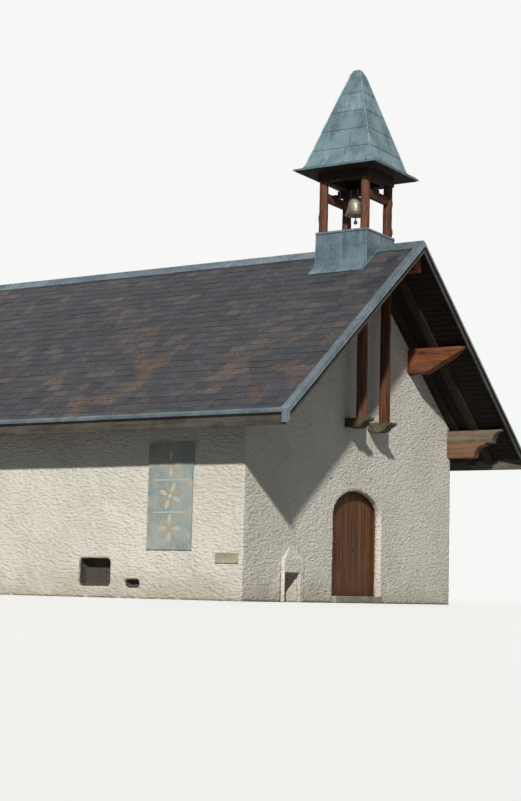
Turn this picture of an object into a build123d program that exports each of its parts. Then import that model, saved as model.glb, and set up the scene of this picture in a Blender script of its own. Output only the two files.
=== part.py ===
from build123d import *
import math
import os

os.makedirs("parts", exist_ok=True)

# Small mountain chapel in millimetres: +Z up, the ridge runs along Y,
# the doorway gable faces -Y and the long side with the wall panel faces -X.
# The origin lies on the ground under the middle of the roof.

# driving dimensions of the plan
roof_length = 10900
front_overhang = 1250
rear_overhang = 650
wall_half_width = 3750
wall_thickness = 450
gable_y = -roof_length / 2 + front_overhang
rear_y = roof_length / 2 - rear_overhang

# driving dimensions of the roof, thicknesses measured plumb
ridge_height = 6410
roof_slope = 0.767
roof_half_width = 4530
covering_plumb = 42
boards_plumb = 34
rafter_plumb = 74
rafter_width = 180

# rafters: beside the gable, in the overhang, and over the nave
flying_rafter_from_wall = 415
common_rafter_pitch = 980

# purlins and wall plates
purlin_inner_x = 1870
purlin_width = 240
purlin_depth = 476
purlin_reach = 1190
purlin_foot_reach = 345
purlin_nose = 36
ridge_purlin_width = 220
ridge_purlin_depth = 380
ridge_purlin_reach = 1130
plate_inner_x = 3620
plate_width = 240
plate_upper_depth = 314
plate_top_cut = 65
plate_lower_depth = 285
plate_upper_reach = 1142
plate_upper_cove = 220
plate_lower_reach = 795
plate_lower_cove = 245
rear_beam_reach = 480

# eaves and verges
fascia_thickness = 32
fascia_height = 190
verge_board_thickness = 30
verge_board_plumb = 190
sheet = 6
verge_face_plumb = 125
verge_flange = 125
eave_strip_height = 60
eave_flange = 110
ridge_cap_wing = 170

# doorway
door_half_width = 855
arch_springing = 1540
arch_rise = 440
outer_reveal = 150
recess_half_width = 930
recess_head = 2060
arch_band_top = 2100
threshold_height = 125
threshold_nose = 60
floor_height = 120
frame_width = 60
frame_depth = 110
leaf_thickness = 50
leaf_side_gap = 8
leaf_meeting_gap = 6
leaf_front_gap = 8
leaf_foot_gap = 8
leaf_head_gap = 6

# door hinges
hinge_from_frame = 20
pin_radius = 8
eye_radius = 14
eye_bore_gap = 0.4
eye_height = 40
eye_rest_gap = 0.3
strap_thickness = 6
strap_length = 560
hinge_heights = (380, 1040, 1700)

# door ledges and grip
ledge_bottoms = (590, 1370)
ledge_height = 120
ledge_thickness = 28
ledge_end_gap = 60
grip_from_edge = 75
grip_height = 1040
grip_length = 170
grip_radius = 9
grip_stand_off = 34
grip_plate_width = 56
grip_plate_height = 230
grip_plate_thickness = 4
keyhole_radius = 7

# side wall details
panel_start = 990
panel_width = 900
panel_below_plate = 325
panel_height = 1750
panel_thickness = 22
plaque_start = 80
plaque_width = 440
plaque_bottom = 600
plaque_height = 165
plaque_thickness = 18
niche_start = 2655
niche_width = 660
niche_bottom = 200
niche_height = 450
niche_depth = 260
vent_start = 2035
vent_width = 310
vent_foot_height = 180
vent_height = 130
vent_depth = 160

# masonry ledge beside the door, over a low recess in the wall
ledge_left = -2586
ledge_right = -1950
ledge_reach = 68
ledge_foot = 488
ledge_front_top = 700
ledge_peak = 960
ledge_peak_left = -2310
ledge_peak_right = -2210
ledge_pier_width = 30
low_recess_width = 476
low_recess_depth = 300

# belfry turret
turret_from_wall = 163
turret_post_spacing = 860
post_foot_radius = 100
post_head_radius = 78
rear_post_foot_radius = 86
post_foot_height = 3250
post_above_rail = 200
post_hole_gap = 12
bearer_below_purlin = 66
bearer_depth = 280
bearer_width = 220
base_top_half = 520
base_foot_half = 525
base_above_ridge = 260
base_sink = 60
base_shell = 30
apron_reach = 190
base_flare_height = 125
apron_before_base = 40
apron_thickness = 10
rail_above_base = 600
rail_depth = 150
rail_width = 90
head_beam_depth = 145
head_beam_width = 170
soffit_half = 815
soffit_thickness = 20
turret_eave_half = 845
turret_eave_edge = 25
flare_half = 675
flare_rise = 105
flare_outline = ((0.30, 0.10), (0.55, 0.22), (0.80, 0.42), (0.93, 0.68), (1.0, 1.0))
spire_height = 1995
turret_apex_half = 70

# corbels under the front posts
corbel_width = 250
corbel_outline = ((0, 0), (380, 0), (430, 12), (470, 5), (470, -45), (380, -75),
                  (350, -120), (290, -170), (150, -180), (0, -160))

# bell
bell_axis_above_rail = 20
journal_radius = 12
journal_gap = 0.4
bearing_half = 32
bearing_length = 60
headstock_height = 120
headstock_width = 110
headstock_end_gap = 20
bell_mouth_radius = 200
bell_height = 345
bell_hang_length = 400
bell_wall = 15
crown_radius = 34
clapper_pivot_drop = 62
clapper_pin_radius = 6
clapper_pin_gap = 0.4
clapper_eye_radius = 15
clapper_eye_width = 16
staple_width = 18
staple_thickness = 8
staple_side_gap = 4
clapper_rod_radius = 9
clapper_ball_radius = 36
clapper_ball_below_lip = 130

rafter_drop = covering_plumb + boards_plumb + rafter_plumb
board_drop = covering_plumb + boards_plumb
turret_y = gable_y + turret_from_wall
post_half = turret_post_spacing / 2
front_post_y = turret_y - post_half
rear_post_y = turret_y + post_half


def block(x0, x1, y0, y1, z0, z1):
    """Box between two corners."""
    size = Box(abs(x1 - x0), abs(y1 - y0), abs(z1 - z0))
    return Pos((x0 + x1) / 2, (y0 + y1) / 2, (z0 + z1) / 2) * size


def prism_along_y(points, y0, y1):
    """Outline of (x, z) points carried from y0 to y1."""
    outline = Polyline(*[(x, y0, z) for x, z in points], close=True)
    return extrude(make_face(outline), amount=y1 - y0, dir=(0, 1, 0))


def prism_along_x(points, x0, x1):
    """Outline of (y, z) points carried from x0 to x1."""
    outline = Polyline(*[(x0, y, z) for y, z in points], close=True)
    return extrude(make_face(outline), amount=x1 - x0, dir=(1, 0, 0))


def roof_z(x, drop=0.0):
    """Height of the roof plane at a distance x from the ridge."""
    return ridge_height - abs(x) * roof_slope - drop


# heights that follow the roof
purlin_top = roof_z(purlin_inner_x, rafter_drop)
purlin_bottom = purlin_top - purlin_depth
ridge_purlin_bottom = roof_z(0, rafter_drop) - ridge_purlin_depth
plate_joint = roof_z(plate_inner_x, rafter_drop) - plate_upper_depth
plate_bottom = plate_joint - plate_lower_depth
plate_top = roof_z(plate_inner_x, rafter_drop) - plate_top_cut
panel_bottom = plate_bottom - panel_below_plate - panel_height
bearer_top = purlin_top - bearer_below_purlin
bearer_bottom = bearer_top - bearer_depth

# heights that follow the turret base
base_top_height = ridge_height + base_above_ridge
rail_bottom = base_top_height + rail_above_base
rail_top = rail_bottom + rail_depth
post_head_height = rail_top + post_above_rail
bell_axis_height = rail_top + bell_axis_above_rail
bell_lip_height = bell_axis_height - bell_hang_length


def roof_layer(side, inner, outer, top_drop, foot_drop, y0, y1):
    """Slab of one roof slope between two plumb depths."""
    points = [
        (side * inner, roof_z(inner, top_drop)),
        (side * outer, roof_z(outer, top_drop)),
        (side * outer, roof_z(outer, foot_drop)),
        (side * inner, roof_z(inner, foot_drop)),
    ]
    return prism_along_y(points, y0, y1)


def under_roof(drop, y0=-roof_length, y1=roof_length):
    """Everything below both slopes at a plumb depth."""
    wide = 2 * roof_half_width
    points = [(-wide, -wide), (-wide, roof_z(wide, drop)), (0, roof_z(0, drop)),
              (wide, roof_z(wide, drop)), (wide, -wide)]
    return prism_along_y(points, y0, y1)


def post_solid(x, y, foot, head, foot_radius, head_radius):
    """Slightly tapering round post."""
    height = head - foot
    return Pos(x, y, foot + height / 2) * Cone(foot_radius, head_radius, height)


def post_radius_at(z):
    """Radius of the front posts at a height."""
    share = (z - post_foot_height) / (post_head_height - post_foot_height)
    return post_foot_radius + (post_head_radius - post_foot_radius) * share


# beams

def purlin(side):
    """Purlin whose front end is cut back in a slant, its top planed to the slope."""
    front = gable_y - purlin_reach
    foot = gable_y - purlin_foot_reach
    rear = rear_y + rear_beam_reach
    points = [(rear, purlin_bottom), (rear, purlin_top), (front, purlin_top),
              (front, purlin_top - purlin_nose), (foot, purlin_bottom)]
    inner = side * purlin_inner_x
    outer = side * (purlin_inner_x + purlin_width)
    return prism_along_x(points, inner, outer) & under_roof(rafter_drop)


def ridge_beam():
    """Ridge purlin with a roof-shaped top."""
    front = gable_y - ridge_purlin_reach
    rear = rear_y + rear_beam_reach
    half = ridge_purlin_width / 2
    beam = block(-half, half, front, rear, ridge_purlin_bottom, ridge_height)
    return beam & under_roof(rafter_drop)


def coved_plate(side, bottom, top, reach, cove):
    """Wall plate whose front end is hollowed below by a quarter round."""
    front = gable_y - reach
    rear = rear_y + rear_beam_reach
    inner = side * plate_inner_x
    outer = side * (plate_inner_x + plate_width)
    beam = block(inner, outer, front, rear, bottom, top)
    axis = Location((0, front, bottom), (0, 90, 0))
    hollow = axis * Cylinder(cove, 4 * roof_half_width)
    return (beam - hollow) & under_roof(rafter_drop)


mid_purlins = [purlin(-1), purlin(1)]
ridge_purlin = ridge_beam()
plates_lower = [coved_plate(s, plate_bottom, plate_joint, plate_lower_reach, plate_lower_cove)
                for s in (-1, 1)]
plates_upper = [coved_plate(s, plate_joint, plate_top, plate_upper_reach, plate_upper_cove)
                for s in (-1, 1)]
beams = mid_purlins + [ridge_purlin] + plates_lower + plates_upper

# masonry walls

def arch_cut():
    """Basket-shaped door opening through the outer reveal."""
    half = door_half_width
    head = EllipticalCenterArc((0, arch_springing), half, arch_rise, start_angle=0, arc_size=180)
    sides = Polyline((-half, arch_springing), (-half, -100), (half, -100), (half, arch_springing))
    face = Plane.XZ * make_face(head + sides)
    return extrude(Pos(0, gable_y - 500, 0) * face, amount=2 * wall_thickness + 1000, dir=(0, 1, 0))


def door_recess():
    """Square recess behind the outer reveal, where the leaves hang."""
    front = gable_y + outer_reveal
    rear = gable_y + wall_thickness + 1
    return block(-recess_half_width, recess_half_width, front, rear, -100, recess_head)


def front_wall(side):
    """Front wall beside the doorway, up to the springing."""
    inner = gable_y + wall_thickness
    wall = block(side * wall_half_width, side * door_half_width, gable_y, inner, 0, arch_springing)
    return wall - door_recess()


def low_recess():
    """Recess in the front wall under the ledge, open down to the ground."""
    left = ledge_left + ledge_pier_width
    return block(left, left + low_recess_width, gable_y - 2 * ledge_reach,
                 gable_y + low_recess_depth, -100, ledge_foot)


def front_arch_band():
    """Band of wall with the door arch in its lower edge."""
    inner = gable_y + wall_thickness
    wide = wall_half_width
    band = block(-wide, wide, gable_y, inner, arch_springing, arch_band_top)
    return band - arch_cut() - door_recess()


def gable_wall(y0, y1, foot):
    """Wall with a pointed top under the roof boards, pocketed for the beams."""
    wide = wall_half_width
    wall = block(-wide, wide, y0, y1, foot, ridge_height) & under_roof(board_drop)
    for beam in beams:
        wall = wall - beam
    return wall


def side_wall(side):
    """Long wall that carries the lower wall plate."""
    outer = side * wall_half_width
    inner = side * (wall_half_width - wall_thickness)
    front = gable_y + wall_thickness
    rear = rear_y - wall_thickness
    return block(outer, inner, front, rear, 0, plate_bottom)


def side_pocket(start, width, bottom, height, depth):
    """Blind opening sunk in the outer face of the left wall."""
    outer = -wall_half_width
    return block(outer - 1, outer + depth, gable_y + start, gable_y + start + width,
                 bottom, bottom + height)


left_wall = side_wall(-1)
left_wall = left_wall - side_pocket(niche_start, niche_width, niche_bottom, niche_height, niche_depth)
left_wall = left_wall - side_pocket(vent_start, vent_width, vent_foot_height, vent_height, vent_depth)
right_wall = side_wall(1)

export_step(front_wall(-1) - low_recess(), "parts/front_wall_left.step")
export_step(front_wall(1), "parts/front_wall_right.step")
export_step(front_arch_band(), "parts/front_wall_arch.step")
export_step(gable_wall(gable_y, gable_y + wall_thickness, arch_band_top), "parts/front_wall_gable.step")
export_step(gable_wall(rear_y - wall_thickness, rear_y, 0), "parts/back_wall.step")
export_step(left_wall, "parts/left_wall.step")
export_step(right_wall, "parts/right_wall.step")

# floor and threshold
inner_half = wall_half_width - wall_thickness
floor_slab = block(-inner_half, inner_half, gable_y + wall_thickness, rear_y - wall_thickness,
                   0, floor_height)
threshold = block(-door_half_width, door_half_width, gable_y - threshold_nose,
                  gable_y + outer_reveal, 0, threshold_height)
threshold = threshold + block(-recess_half_width, recess_half_width, gable_y + outer_reveal,
                              gable_y + wall_thickness, 0, threshold_height)
export_step(floor_slab, "parts/floor_slab.step")
export_step(threshold, "parts/door_threshold.step")

# door frame, leaves and hinges
frame_front = gable_y + outer_reveal
frame_inner_x = recess_half_width - frame_width
leaf_front = frame_front + leaf_front_gap
leaf_rear = leaf_front + leaf_thickness
leaf_bottom = threshold_height + leaf_foot_gap
leaf_top = recess_head - frame_width - leaf_head_gap
leaf_outer_x = frame_inner_x - leaf_side_gap
hinge_x = frame_inner_x - hinge_from_frame
hinge_y = leaf_rear + strap_thickness / 2 + eye_radius


def door_frame():
    """Two posts and a head in the recess."""
    outer = block(-recess_half_width, recess_half_width, frame_front, frame_front + frame_depth,
                  threshold_height, recess_head)
    opening = block(-frame_inner_x, frame_inner_x, frame_front - 1, frame_front + frame_depth + 1,
                    threshold_height - 1, recess_head - frame_width)
    return outer - opening


def door_leaf(side):
    """Leaf with two ledges across its inner face."""
    meeting_x = leaf_meeting_gap / 2
    leaf = block(side * leaf_outer_x, side * meeting_x, leaf_front, leaf_rear, leaf_bottom, leaf_top)
    for bottom in ledge_bottoms:
        leaf = leaf + block(side * (leaf_outer_x - ledge_end_gap), side * (meeting_x + ledge_end_gap),
                            leaf_rear, leaf_rear + ledge_thickness, bottom, bottom + ledge_height)
    return leaf


def door_grip():
    """Plate with a keyhole and an upright bar on the outer face of the right leaf."""
    x = leaf_meeting_gap / 2 + grip_from_edge
    plate_front = leaf_front - grip_plate_thickness
    bar_y = leaf_front - grip_stand_off
    foot = grip_height - grip_plate_height / 2
    plate = block(x - grip_plate_width / 2, x + grip_plate_width / 2, plate_front, leaf_front,
                  foot, foot + grip_plate_height)
    keyhole = Location((x, leaf_front, foot + 2 * keyhole_radius), (90, 0, 0)) * Cylinder(
        keyhole_radius, 4 * grip_plate_thickness)
    body = plate - keyhole
    bar = Pos(x, bar_y, grip_height) * Cylinder(grip_radius, grip_length)
    body = body + bar
    for end in (-1, 1):
        z = grip_height + end * (grip_length / 2 - grip_radius)
        leg = Location((x, (bar_y + plate_front) / 2, z), (90, 0, 0))
        body = body + leg * Cylinder(grip_radius, plate_front - bar_y + grip_plate_thickness / 2)
    return body


def strap_and_eye(side, height):
    """Strap on the inner face, rolled into an eye round the pin."""
    strap = block(side * hinge_x, side * (hinge_x - strap_length), leaf_rear,
                  leaf_rear + strap_thickness, height, height + eye_height)
    eye = Pos(side * hinge_x, hinge_y, height + eye_height / 2) * Cylinder(eye_radius, eye_height)
    bore = Pos(side * hinge_x, hinge_y, height + eye_height / 2) * Cylinder(
        pin_radius + eye_bore_gap, eye_height + 2)
    return (strap + eye) - bore


def pintle(side, height):
    """Pin on an arm that stands out from the frame."""
    pin_top = height + eye_height + 6
    arm_top = height - eye_rest_gap
    arm_bottom = arm_top - 16
    pin = Pos(side * hinge_x, hinge_y, (arm_bottom + pin_top) / 2) * Cylinder(
        pin_radius, pin_top - arm_bottom)
    arm = block(side * hinge_x, side * frame_inner_x, hinge_y - pin_radius, hinge_y + pin_radius,
                arm_bottom, arm_top)
    collar = Pos(side * hinge_x, hinge_y, (arm_bottom + arm_top) / 2) * Cylinder(
        eye_radius, arm_top - arm_bottom)
    return pin + arm + collar


export_step(door_frame(), "parts/door_frame.step")
export_step(door_grip(), "parts/door_grip.step")
for side, name in ((-1, "left"), (1, "right")):
    export_step(door_leaf(side), f"parts/door_leaf_{name}.step")
    straps = Compound(children=[strap_and_eye(side, z) for z in hinge_heights])
    export_step(straps, f"parts/door_straps_{name}.step")
pintles = Compound(children=[pintle(s, z) for s in (-1, 1) for z in hinge_heights])
export_step(pintles, "parts/door_pintles.step")

# ledge
def stone_ledge():
    """Shallow ledge with a hipped top, on two piers beside the low recess."""
    front = gable_y - ledge_reach
    lean = prism_along_x([(gable_y, ledge_foot), (gable_y, ledge_peak), (front, ledge_front_top),
                          (front, ledge_foot)], ledge_left, ledge_right)
    hips = prism_along_y([(ledge_left, 0), (ledge_left, ledge_front_top),
                          (ledge_peak_left, ledge_peak), (ledge_peak_right, ledge_peak),
                          (ledge_right, ledge_front_top), (ledge_right, 0)], front, gable_y)
    piers = block(ledge_left, ledge_right, front, gable_y, 0, ledge_foot) - low_recess()
    return (lean & hips) + piers


export_step(stone_ledge(), "parts/stone_ledge.step")

# corbels
def corbel(side):
    """Rough stone bracket that thins to a blunt lip in front."""
    points = [(gable_y - reach, post_foot_height + rise) for reach, rise in corbel_outline]
    x = side * post_half
    return prism_along_x(points, x - corbel_width / 2, x + corbel_width / 2)


export_step(Compound(children=[corbel(-1), corbel(1)]), "parts/corbels.step")

# turret posts
front_posts = [post_solid(s * post_half, front_post_y, post_foot_height, post_head_height,
                          post_foot_radius, post_head_radius) for s in (-1, 1)]
rear_posts = [post_solid(s * post_half, rear_post_y, bearer_top, post_head_height,
                         rear_post_foot_radius, post_head_radius) for s in (-1, 1)]
bearer = block(-purlin_inner_x, purlin_inner_x, rear_post_y - bearer_width / 2,
               rear_post_y + bearer_width / 2, bearer_bottom, bearer_top)
export_step(Compound(children=front_posts + rear_posts), "parts/turret_posts.step")
export_step(bearer, "parts/turret_bearer.step")

# beams out
export_step(ridge_purlin, "parts/ridge_purlin.step")
export_step(Compound(children=mid_purlins), "parts/mid_purlins.step")
export_step(Compound(children=plates_lower), "parts/wall_plates_lower.step")
export_step(Compound(children=plates_upper), "parts/wall_plates_upper.step")

# roof build-up
roof_front = -roof_length / 2
roof_rear = roof_length / 2
board_front = roof_front + verge_board_thickness
board_rear = roof_rear - verge_board_thickness
fascia_x = roof_half_width - fascia_thickness


def rafter_places():
    """Front edge of every rafter, from the overhang to the rear gable."""
    places = [gable_y - flying_rafter_from_wall - rafter_width, gable_y - rafter_width]
    first = rear_post_y + post_head_radius + 60
    last = rear_y - wall_thickness - rafter_width
    count = max(1, math.ceil((last - first) / common_rafter_pitch))
    step = (last - first) / count
    places += [first + i * step for i in range(count + 1)]
    places.append(rear_y)
    return places


def rafters(side):
    """All rafters of one slope."""
    run = [roof_layer(side, 0, fascia_x, board_drop, rafter_drop, y, y + rafter_width)
           for y in rafter_places()]
    return Compound(children=run)


def post_holes(gap):
    """Square holes where the four turret posts pass the roof."""
    reach = post_foot_radius + gap
    low = roof_z(post_half + reach, board_drop) - reach
    high = ridge_height + reach
    return [block(sx * post_half - reach, sx * post_half + reach, y - reach, y + reach, low, high)
            for sx in (-1, 1) for y in (front_post_y, rear_post_y)]


def roof_sheet(side, outer, top_drop, foot_drop, y0, y1):
    """Boards or covering of one slope, holed for the turret posts."""
    sheet_body = roof_layer(side, 0, outer, top_drop, foot_drop, y0, y1)
    for hole in post_holes(post_hole_gap):
        sheet_body = sheet_body - hole
    return sheet_body


for side, name in ((-1, "left"), (1, "right")):
    export_step(rafters(side), f"parts/rafters_{name}.step")
    export_step(roof_sheet(side, fascia_x, covering_plumb, board_drop, board_front, board_rear),
                f"parts/roof_boards_{name}.step")
    export_step(roof_sheet(side, roof_half_width, 0, covering_plumb, roof_front, roof_rear),
                f"parts/roof_covering_{name}.step")

# fascias and verge boards
def fascia(side):
    """Plumb board across the rafter feet."""
    top = roof_z(roof_half_width, covering_plumb)
    bottom = top - fascia_height
    inner = side * fascia_x
    outer = side * roof_half_width
    return block(inner, outer, board_front, board_rear, bottom, top)


def verge_board(y0):
    """Pair of boards under the covering along one gable edge."""
    halves = [roof_layer(s, 0, roof_half_width, covering_plumb, verge_board_plumb,
                         y0, y0 + verge_board_thickness) for s in (-1, 1)]
    return halves[0] + halves[1]


export_step(Compound(children=[fascia(-1), fascia(1)]), "parts/fascias.step")
export_step(Compound(children=[verge_board(roof_front), verge_board(board_rear)]),
            "parts/verge_boards.step")

# sheet metal edges
metal_half = roof_half_width + sheet


def verge_strip(front):
    """Folded strip over one gable edge: a face and a flange on the covering."""
    outward = -1 if front else 1
    edge = roof_front if front else roof_rear
    pieces = []
    for side in (-1, 1):
        face_y = sorted((edge, edge + outward * sheet))
        flange_y = sorted((edge + outward * sheet, edge - outward * verge_flange))
        pieces.append(roof_layer(side, 0, metal_half, -sheet, verge_face_plumb, *face_y))
        pieces.append(roof_layer(side, 0, metal_half, -sheet, 0, *flange_y))
    return pieces[0] + pieces[1] + pieces[2] + pieces[3]


def eave_strip(side):
    """Drip strip: a flange on the covering and a face before the fascia."""
    start = roof_front + verge_flange
    end = roof_rear - verge_flange
    flange = roof_layer(side, roof_half_width - eave_flange, metal_half, -sheet, 0, start, end)
    top = roof_z(metal_half, -sheet)
    face = block(side * roof_half_width, side * metal_half, start, end, top - eave_strip_height, top)
    return flange + face


export_step(Compound(children=[verge_strip(True), verge_strip(False)]), "parts/verge_metal.step")
export_step(Compound(children=[eave_strip(-1), eave_strip(1)]), "parts/eave_metal.step")

# turret base and ridge cap
def square_taper(half_top, half_foot, top, foot):
    """Upright box with tapering sides round the turret centre."""
    side_x = prism_along_y([(-half_foot, foot), (-half_top, top), (half_top, top), (half_foot, foot)],
                           turret_y - 3 * half_foot, turret_y + 3 * half_foot)
    side_y = prism_along_x([(turret_y - half_foot, foot), (turret_y - half_top, top),
                            (turret_y + half_top, top), (turret_y + half_foot, foot)],
                           -3 * half_foot, 3 * half_foot)
    return side_x & side_y


def base_flare(side):
    """Wedge that leads the foot of the base out over one slope."""
    inner = base_foot_half - base_shell / 2
    outer = base_foot_half + apron_reach
    points = [(side * inner, roof_z(inner)), (side * inner, roof_z(base_foot_half) + base_flare_height),
              (side * outer, roof_z(outer) + apron_thickness), (side * outer, roof_z(outer))]
    return prism_along_y(points, turret_y - base_top_half, turret_y + base_top_half)


def turret_base():
    """Metal-clad box on the ridge, hollow round the posts, flared over both slopes."""
    foot = roof_z(base_foot_half)
    outer = square_taper(base_top_half, base_foot_half, base_top_height, foot - base_sink)
    inner = square_taper(base_top_half - base_shell, base_foot_half - base_shell,
                         base_top_height - base_shell, foot - base_sink - base_shell)
    shell = (outer - inner) - under_roof(0)
    reach = base_foot_half + apron_reach
    front_reach = base_foot_half + apron_before_base
    apron_slab = block(-reach, reach, turret_y - front_reach, turret_y + front_reach,
                       roof_z(reach), ridge_height + 2 * apron_thickness)
    apron = (apron_slab & under_roof(-apron_thickness)) - under_roof(0)
    hole_half = base_foot_half - base_shell
    hole = block(-hole_half, hole_half, turret_y - hole_half, turret_y + hole_half,
                 0, ridge_height + base_above_ridge)
    body = shell + (apron - hole) + base_flare(-1) + base_flare(1)
    for post in front_posts + rear_posts:
        body = body - post
    return body


def ridge_cap():
    """Folded sheet over the ridge, in two lengths before and behind the turret."""
    lengths = []
    front_end = turret_y - base_foot_half - apron_before_base
    rear_start = turret_y + base_foot_half + apron_before_base
    for y0, y1 in ((roof_front + verge_flange, front_end), (rear_start, roof_rear - verge_flange)):
        pair = [roof_layer(s, 0, ridge_cap_wing, -sheet, 0, y0, y1) for s in (-1, 1)]
        lengths.append(pair[0] + pair[1])
    return Compound(children=lengths)


export_step(turret_base(), "parts/turret_base.step")
export_step(ridge_cap(), "parts/ridge_cap.step")

# turret rails with the bell bearings
def turret_rail(y):
    """Rail between two posts with a bearing block on its middle."""
    rail = block(-post_half, post_half, y - rail_width / 2, y + rail_width / 2, rail_bottom, rail_top)
    bearing = block(-bearing_half, bearing_half, y - bearing_length / 2, y + bearing_length / 2,
                    rail_top, bell_axis_height + bearing_half)
    bore = Location((0, y, bell_axis_height), (90, 0, 0)) * Cylinder(journal_radius + journal_gap,
                                                                    bearing_length + 2)
    body = (rail + bearing) - bore
    for post in front_posts + rear_posts:
        body = body - post
    return body


export_step(Compound(children=[turret_rail(front_post_y), turret_rail(rear_post_y)]),
            "parts/turret_rails.step")

# turret head, soffit and roof
head_top = post_head_height + head_beam_depth
head_outer = post_half + head_beam_width / 2
head_inner = post_half - head_beam_width / 2
soffit_top = head_top + soffit_thickness
turret_apex_height = soffit_top + spire_height
turret_head = block(-head_outer, head_outer, turret_y - head_outer, turret_y + head_outer,
                    post_head_height, head_top)
turret_head = turret_head - block(-head_inner, head_inner, turret_y - head_inner,
                                  turret_y + head_inner, post_head_height - 1, head_top + 1)
turret_soffit = block(-soffit_half, soffit_half, turret_y - soffit_half, turret_y + soffit_half,
                      head_top, soffit_top)


def flared_profile():
    """Half outline of the turret roof from the eave to the apex as (radius, height)."""
    eave = soffit_top + turret_eave_edge
    points = [(turret_eave_half, soffit_top), (turret_eave_half, eave)]
    for inward, upward in flare_outline:
        radius = turret_eave_half + (flare_half - turret_eave_half) * inward
        points.append((radius, eave + flare_rise * upward))
    points.append((turret_apex_half, turret_apex_height))
    return points


def turret_roof():
    """Four-sided bell-cast spire."""
    half = flared_profile()
    outline = [(-r, z) for r, z in half] + [(r, z) for r, z in reversed(half)]
    reach = 2 * turret_eave_half
    along_y = prism_along_y(outline, turret_y - reach, turret_y + reach)
    along_x = prism_along_x([(turret_y + r, z) for r, z in outline], -reach, reach)
    return along_y & along_x


export_step(turret_head, "parts/turret_head.step")
export_step(turret_soffit, "parts/turret_soffit.step")
export_step(turret_roof(), "parts/turret_roof.step")

# bell, headstock and clapper
rail_inner_gap = post_half - rail_width / 2


def headstock():
    """Wooden yoke along the ridge with an iron journal at each end."""
    half = rail_inner_gap - headstock_end_gap
    wood = block(-headstock_width / 2, headstock_width / 2, turret_y - half, turret_y + half,
                 bell_axis_height - headstock_height / 3, bell_axis_height + headstock_height * 2 / 3)
    journals = Location((0, turret_y, bell_axis_height), (90, 0, 0)) * Cylinder(
        journal_radius, 2 * (post_half + bearing_length / 2))
    return wood + journals


def bell_outline():
    """Outer and inner half profile of the bell, from the lip to the crown."""
    shares = ((1.0, 0.0), (0.96, 0.06), (0.85, 0.25), (0.75, 0.48), (0.68, 0.72), (0.60, 0.88))
    outer = [(r * bell_mouth_radius, z * bell_height) for r, z in shares]
    shoulder = (0.34 * bell_mouth_radius, bell_height)
    inner_shares = ((0.91, 0.0), (0.87, 0.07), (0.77, 0.25), (0.67, 0.48), (0.60, 0.72), (0.51, 0.86))
    inner = [(r * bell_mouth_radius, z * bell_height) for r, z in inner_shares]
    inner_top = (0.0, bell_height - bell_wall)
    return outer, shoulder, inner, inner_top


def bell():
    """Turned bell with a crown, and a staple inside for the clapper pin."""
    outer, shoulder, inner, inner_top = bell_outline()
    profile = outer + [shoulder, (0.0, bell_height), inner_top] + list(reversed(inner))
    points = [(r, 0, z) for r, z in profile]
    face = make_face(Polyline(*points, close=True))
    shell = revolve(face, axis=Axis.Z, revolution_arc=360)
    shell = Pos(0, turret_y, bell_lip_height) * shell
    crown_foot = bell_lip_height + bell_height
    crown_top = bell_axis_height - headstock_height / 3
    crown = Pos(0, turret_y, (crown_foot + crown_top) / 2) * Cylinder(crown_radius, crown_top - crown_foot)
    pivot_z = bell_lip_height + bell_height - clapper_pivot_drop
    staple_top = bell_lip_height + bell_height - bell_wall / 2
    near = clapper_eye_width / 2 + staple_side_gap
    far = near + staple_thickness
    half = staple_width / 2
    staple = [block(-half, half, turret_y + s * near, turret_y + s * far,
                    pivot_z - 2 * clapper_pin_radius, staple_top) for s in (-1, 1)]
    pin = Location((0, turret_y, pivot_z), (90, 0, 0)) * Cylinder(clapper_pin_radius, 2 * far)
    return shell + crown + staple[0] + staple[1] + pin


def clapper():
    """Rod with an eye on the pin and a ball below the lip."""
    pivot_z = bell_lip_height + bell_height - clapper_pivot_drop
    ball_z = bell_lip_height - clapper_ball_below_lip
    axle = Location((0, turret_y, pivot_z), (90, 0, 0))
    eye = axle * Cylinder(clapper_eye_radius, clapper_eye_width)
    bore = axle * Cylinder(clapper_pin_radius + clapper_pin_gap, 2 * clapper_eye_width)
    rod_top = pivot_z - 2 * clapper_pin_radius
    rod = Pos(0, turret_y, (rod_top + ball_z) / 2) * Cylinder(clapper_rod_radius, rod_top - ball_z)
    ball = Pos(0, turret_y, ball_z) * Sphere(clapper_ball_radius)
    return (eye + rod + ball) - bore


export_step(headstock(), "parts/bell_headstock.step")
export_step(bell(), "parts/bell.step")
export_step(clapper(), "parts/clapper.step")

# panel and plaque on the left wall
panel = block(-wall_half_width - panel_thickness, -wall_half_width, gable_y + panel_start,
              gable_y + panel_start + panel_width, panel_bottom, panel_bottom + panel_height)
plaque = block(-wall_half_width - plaque_thickness, -wall_half_width, gable_y + plaque_start,
               gable_y + plaque_start + plaque_width, plaque_bottom, plaque_bottom + plaque_height)
export_step(panel, "parts/painted_panel.step")
export_step(plaque, "parts/wall_plaque.step")
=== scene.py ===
"""Finishes of a small mountain chapel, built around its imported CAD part."""
import math
import random

import bmesh
import bpy
from mathutils import Matrix, Vector, noise


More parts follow.
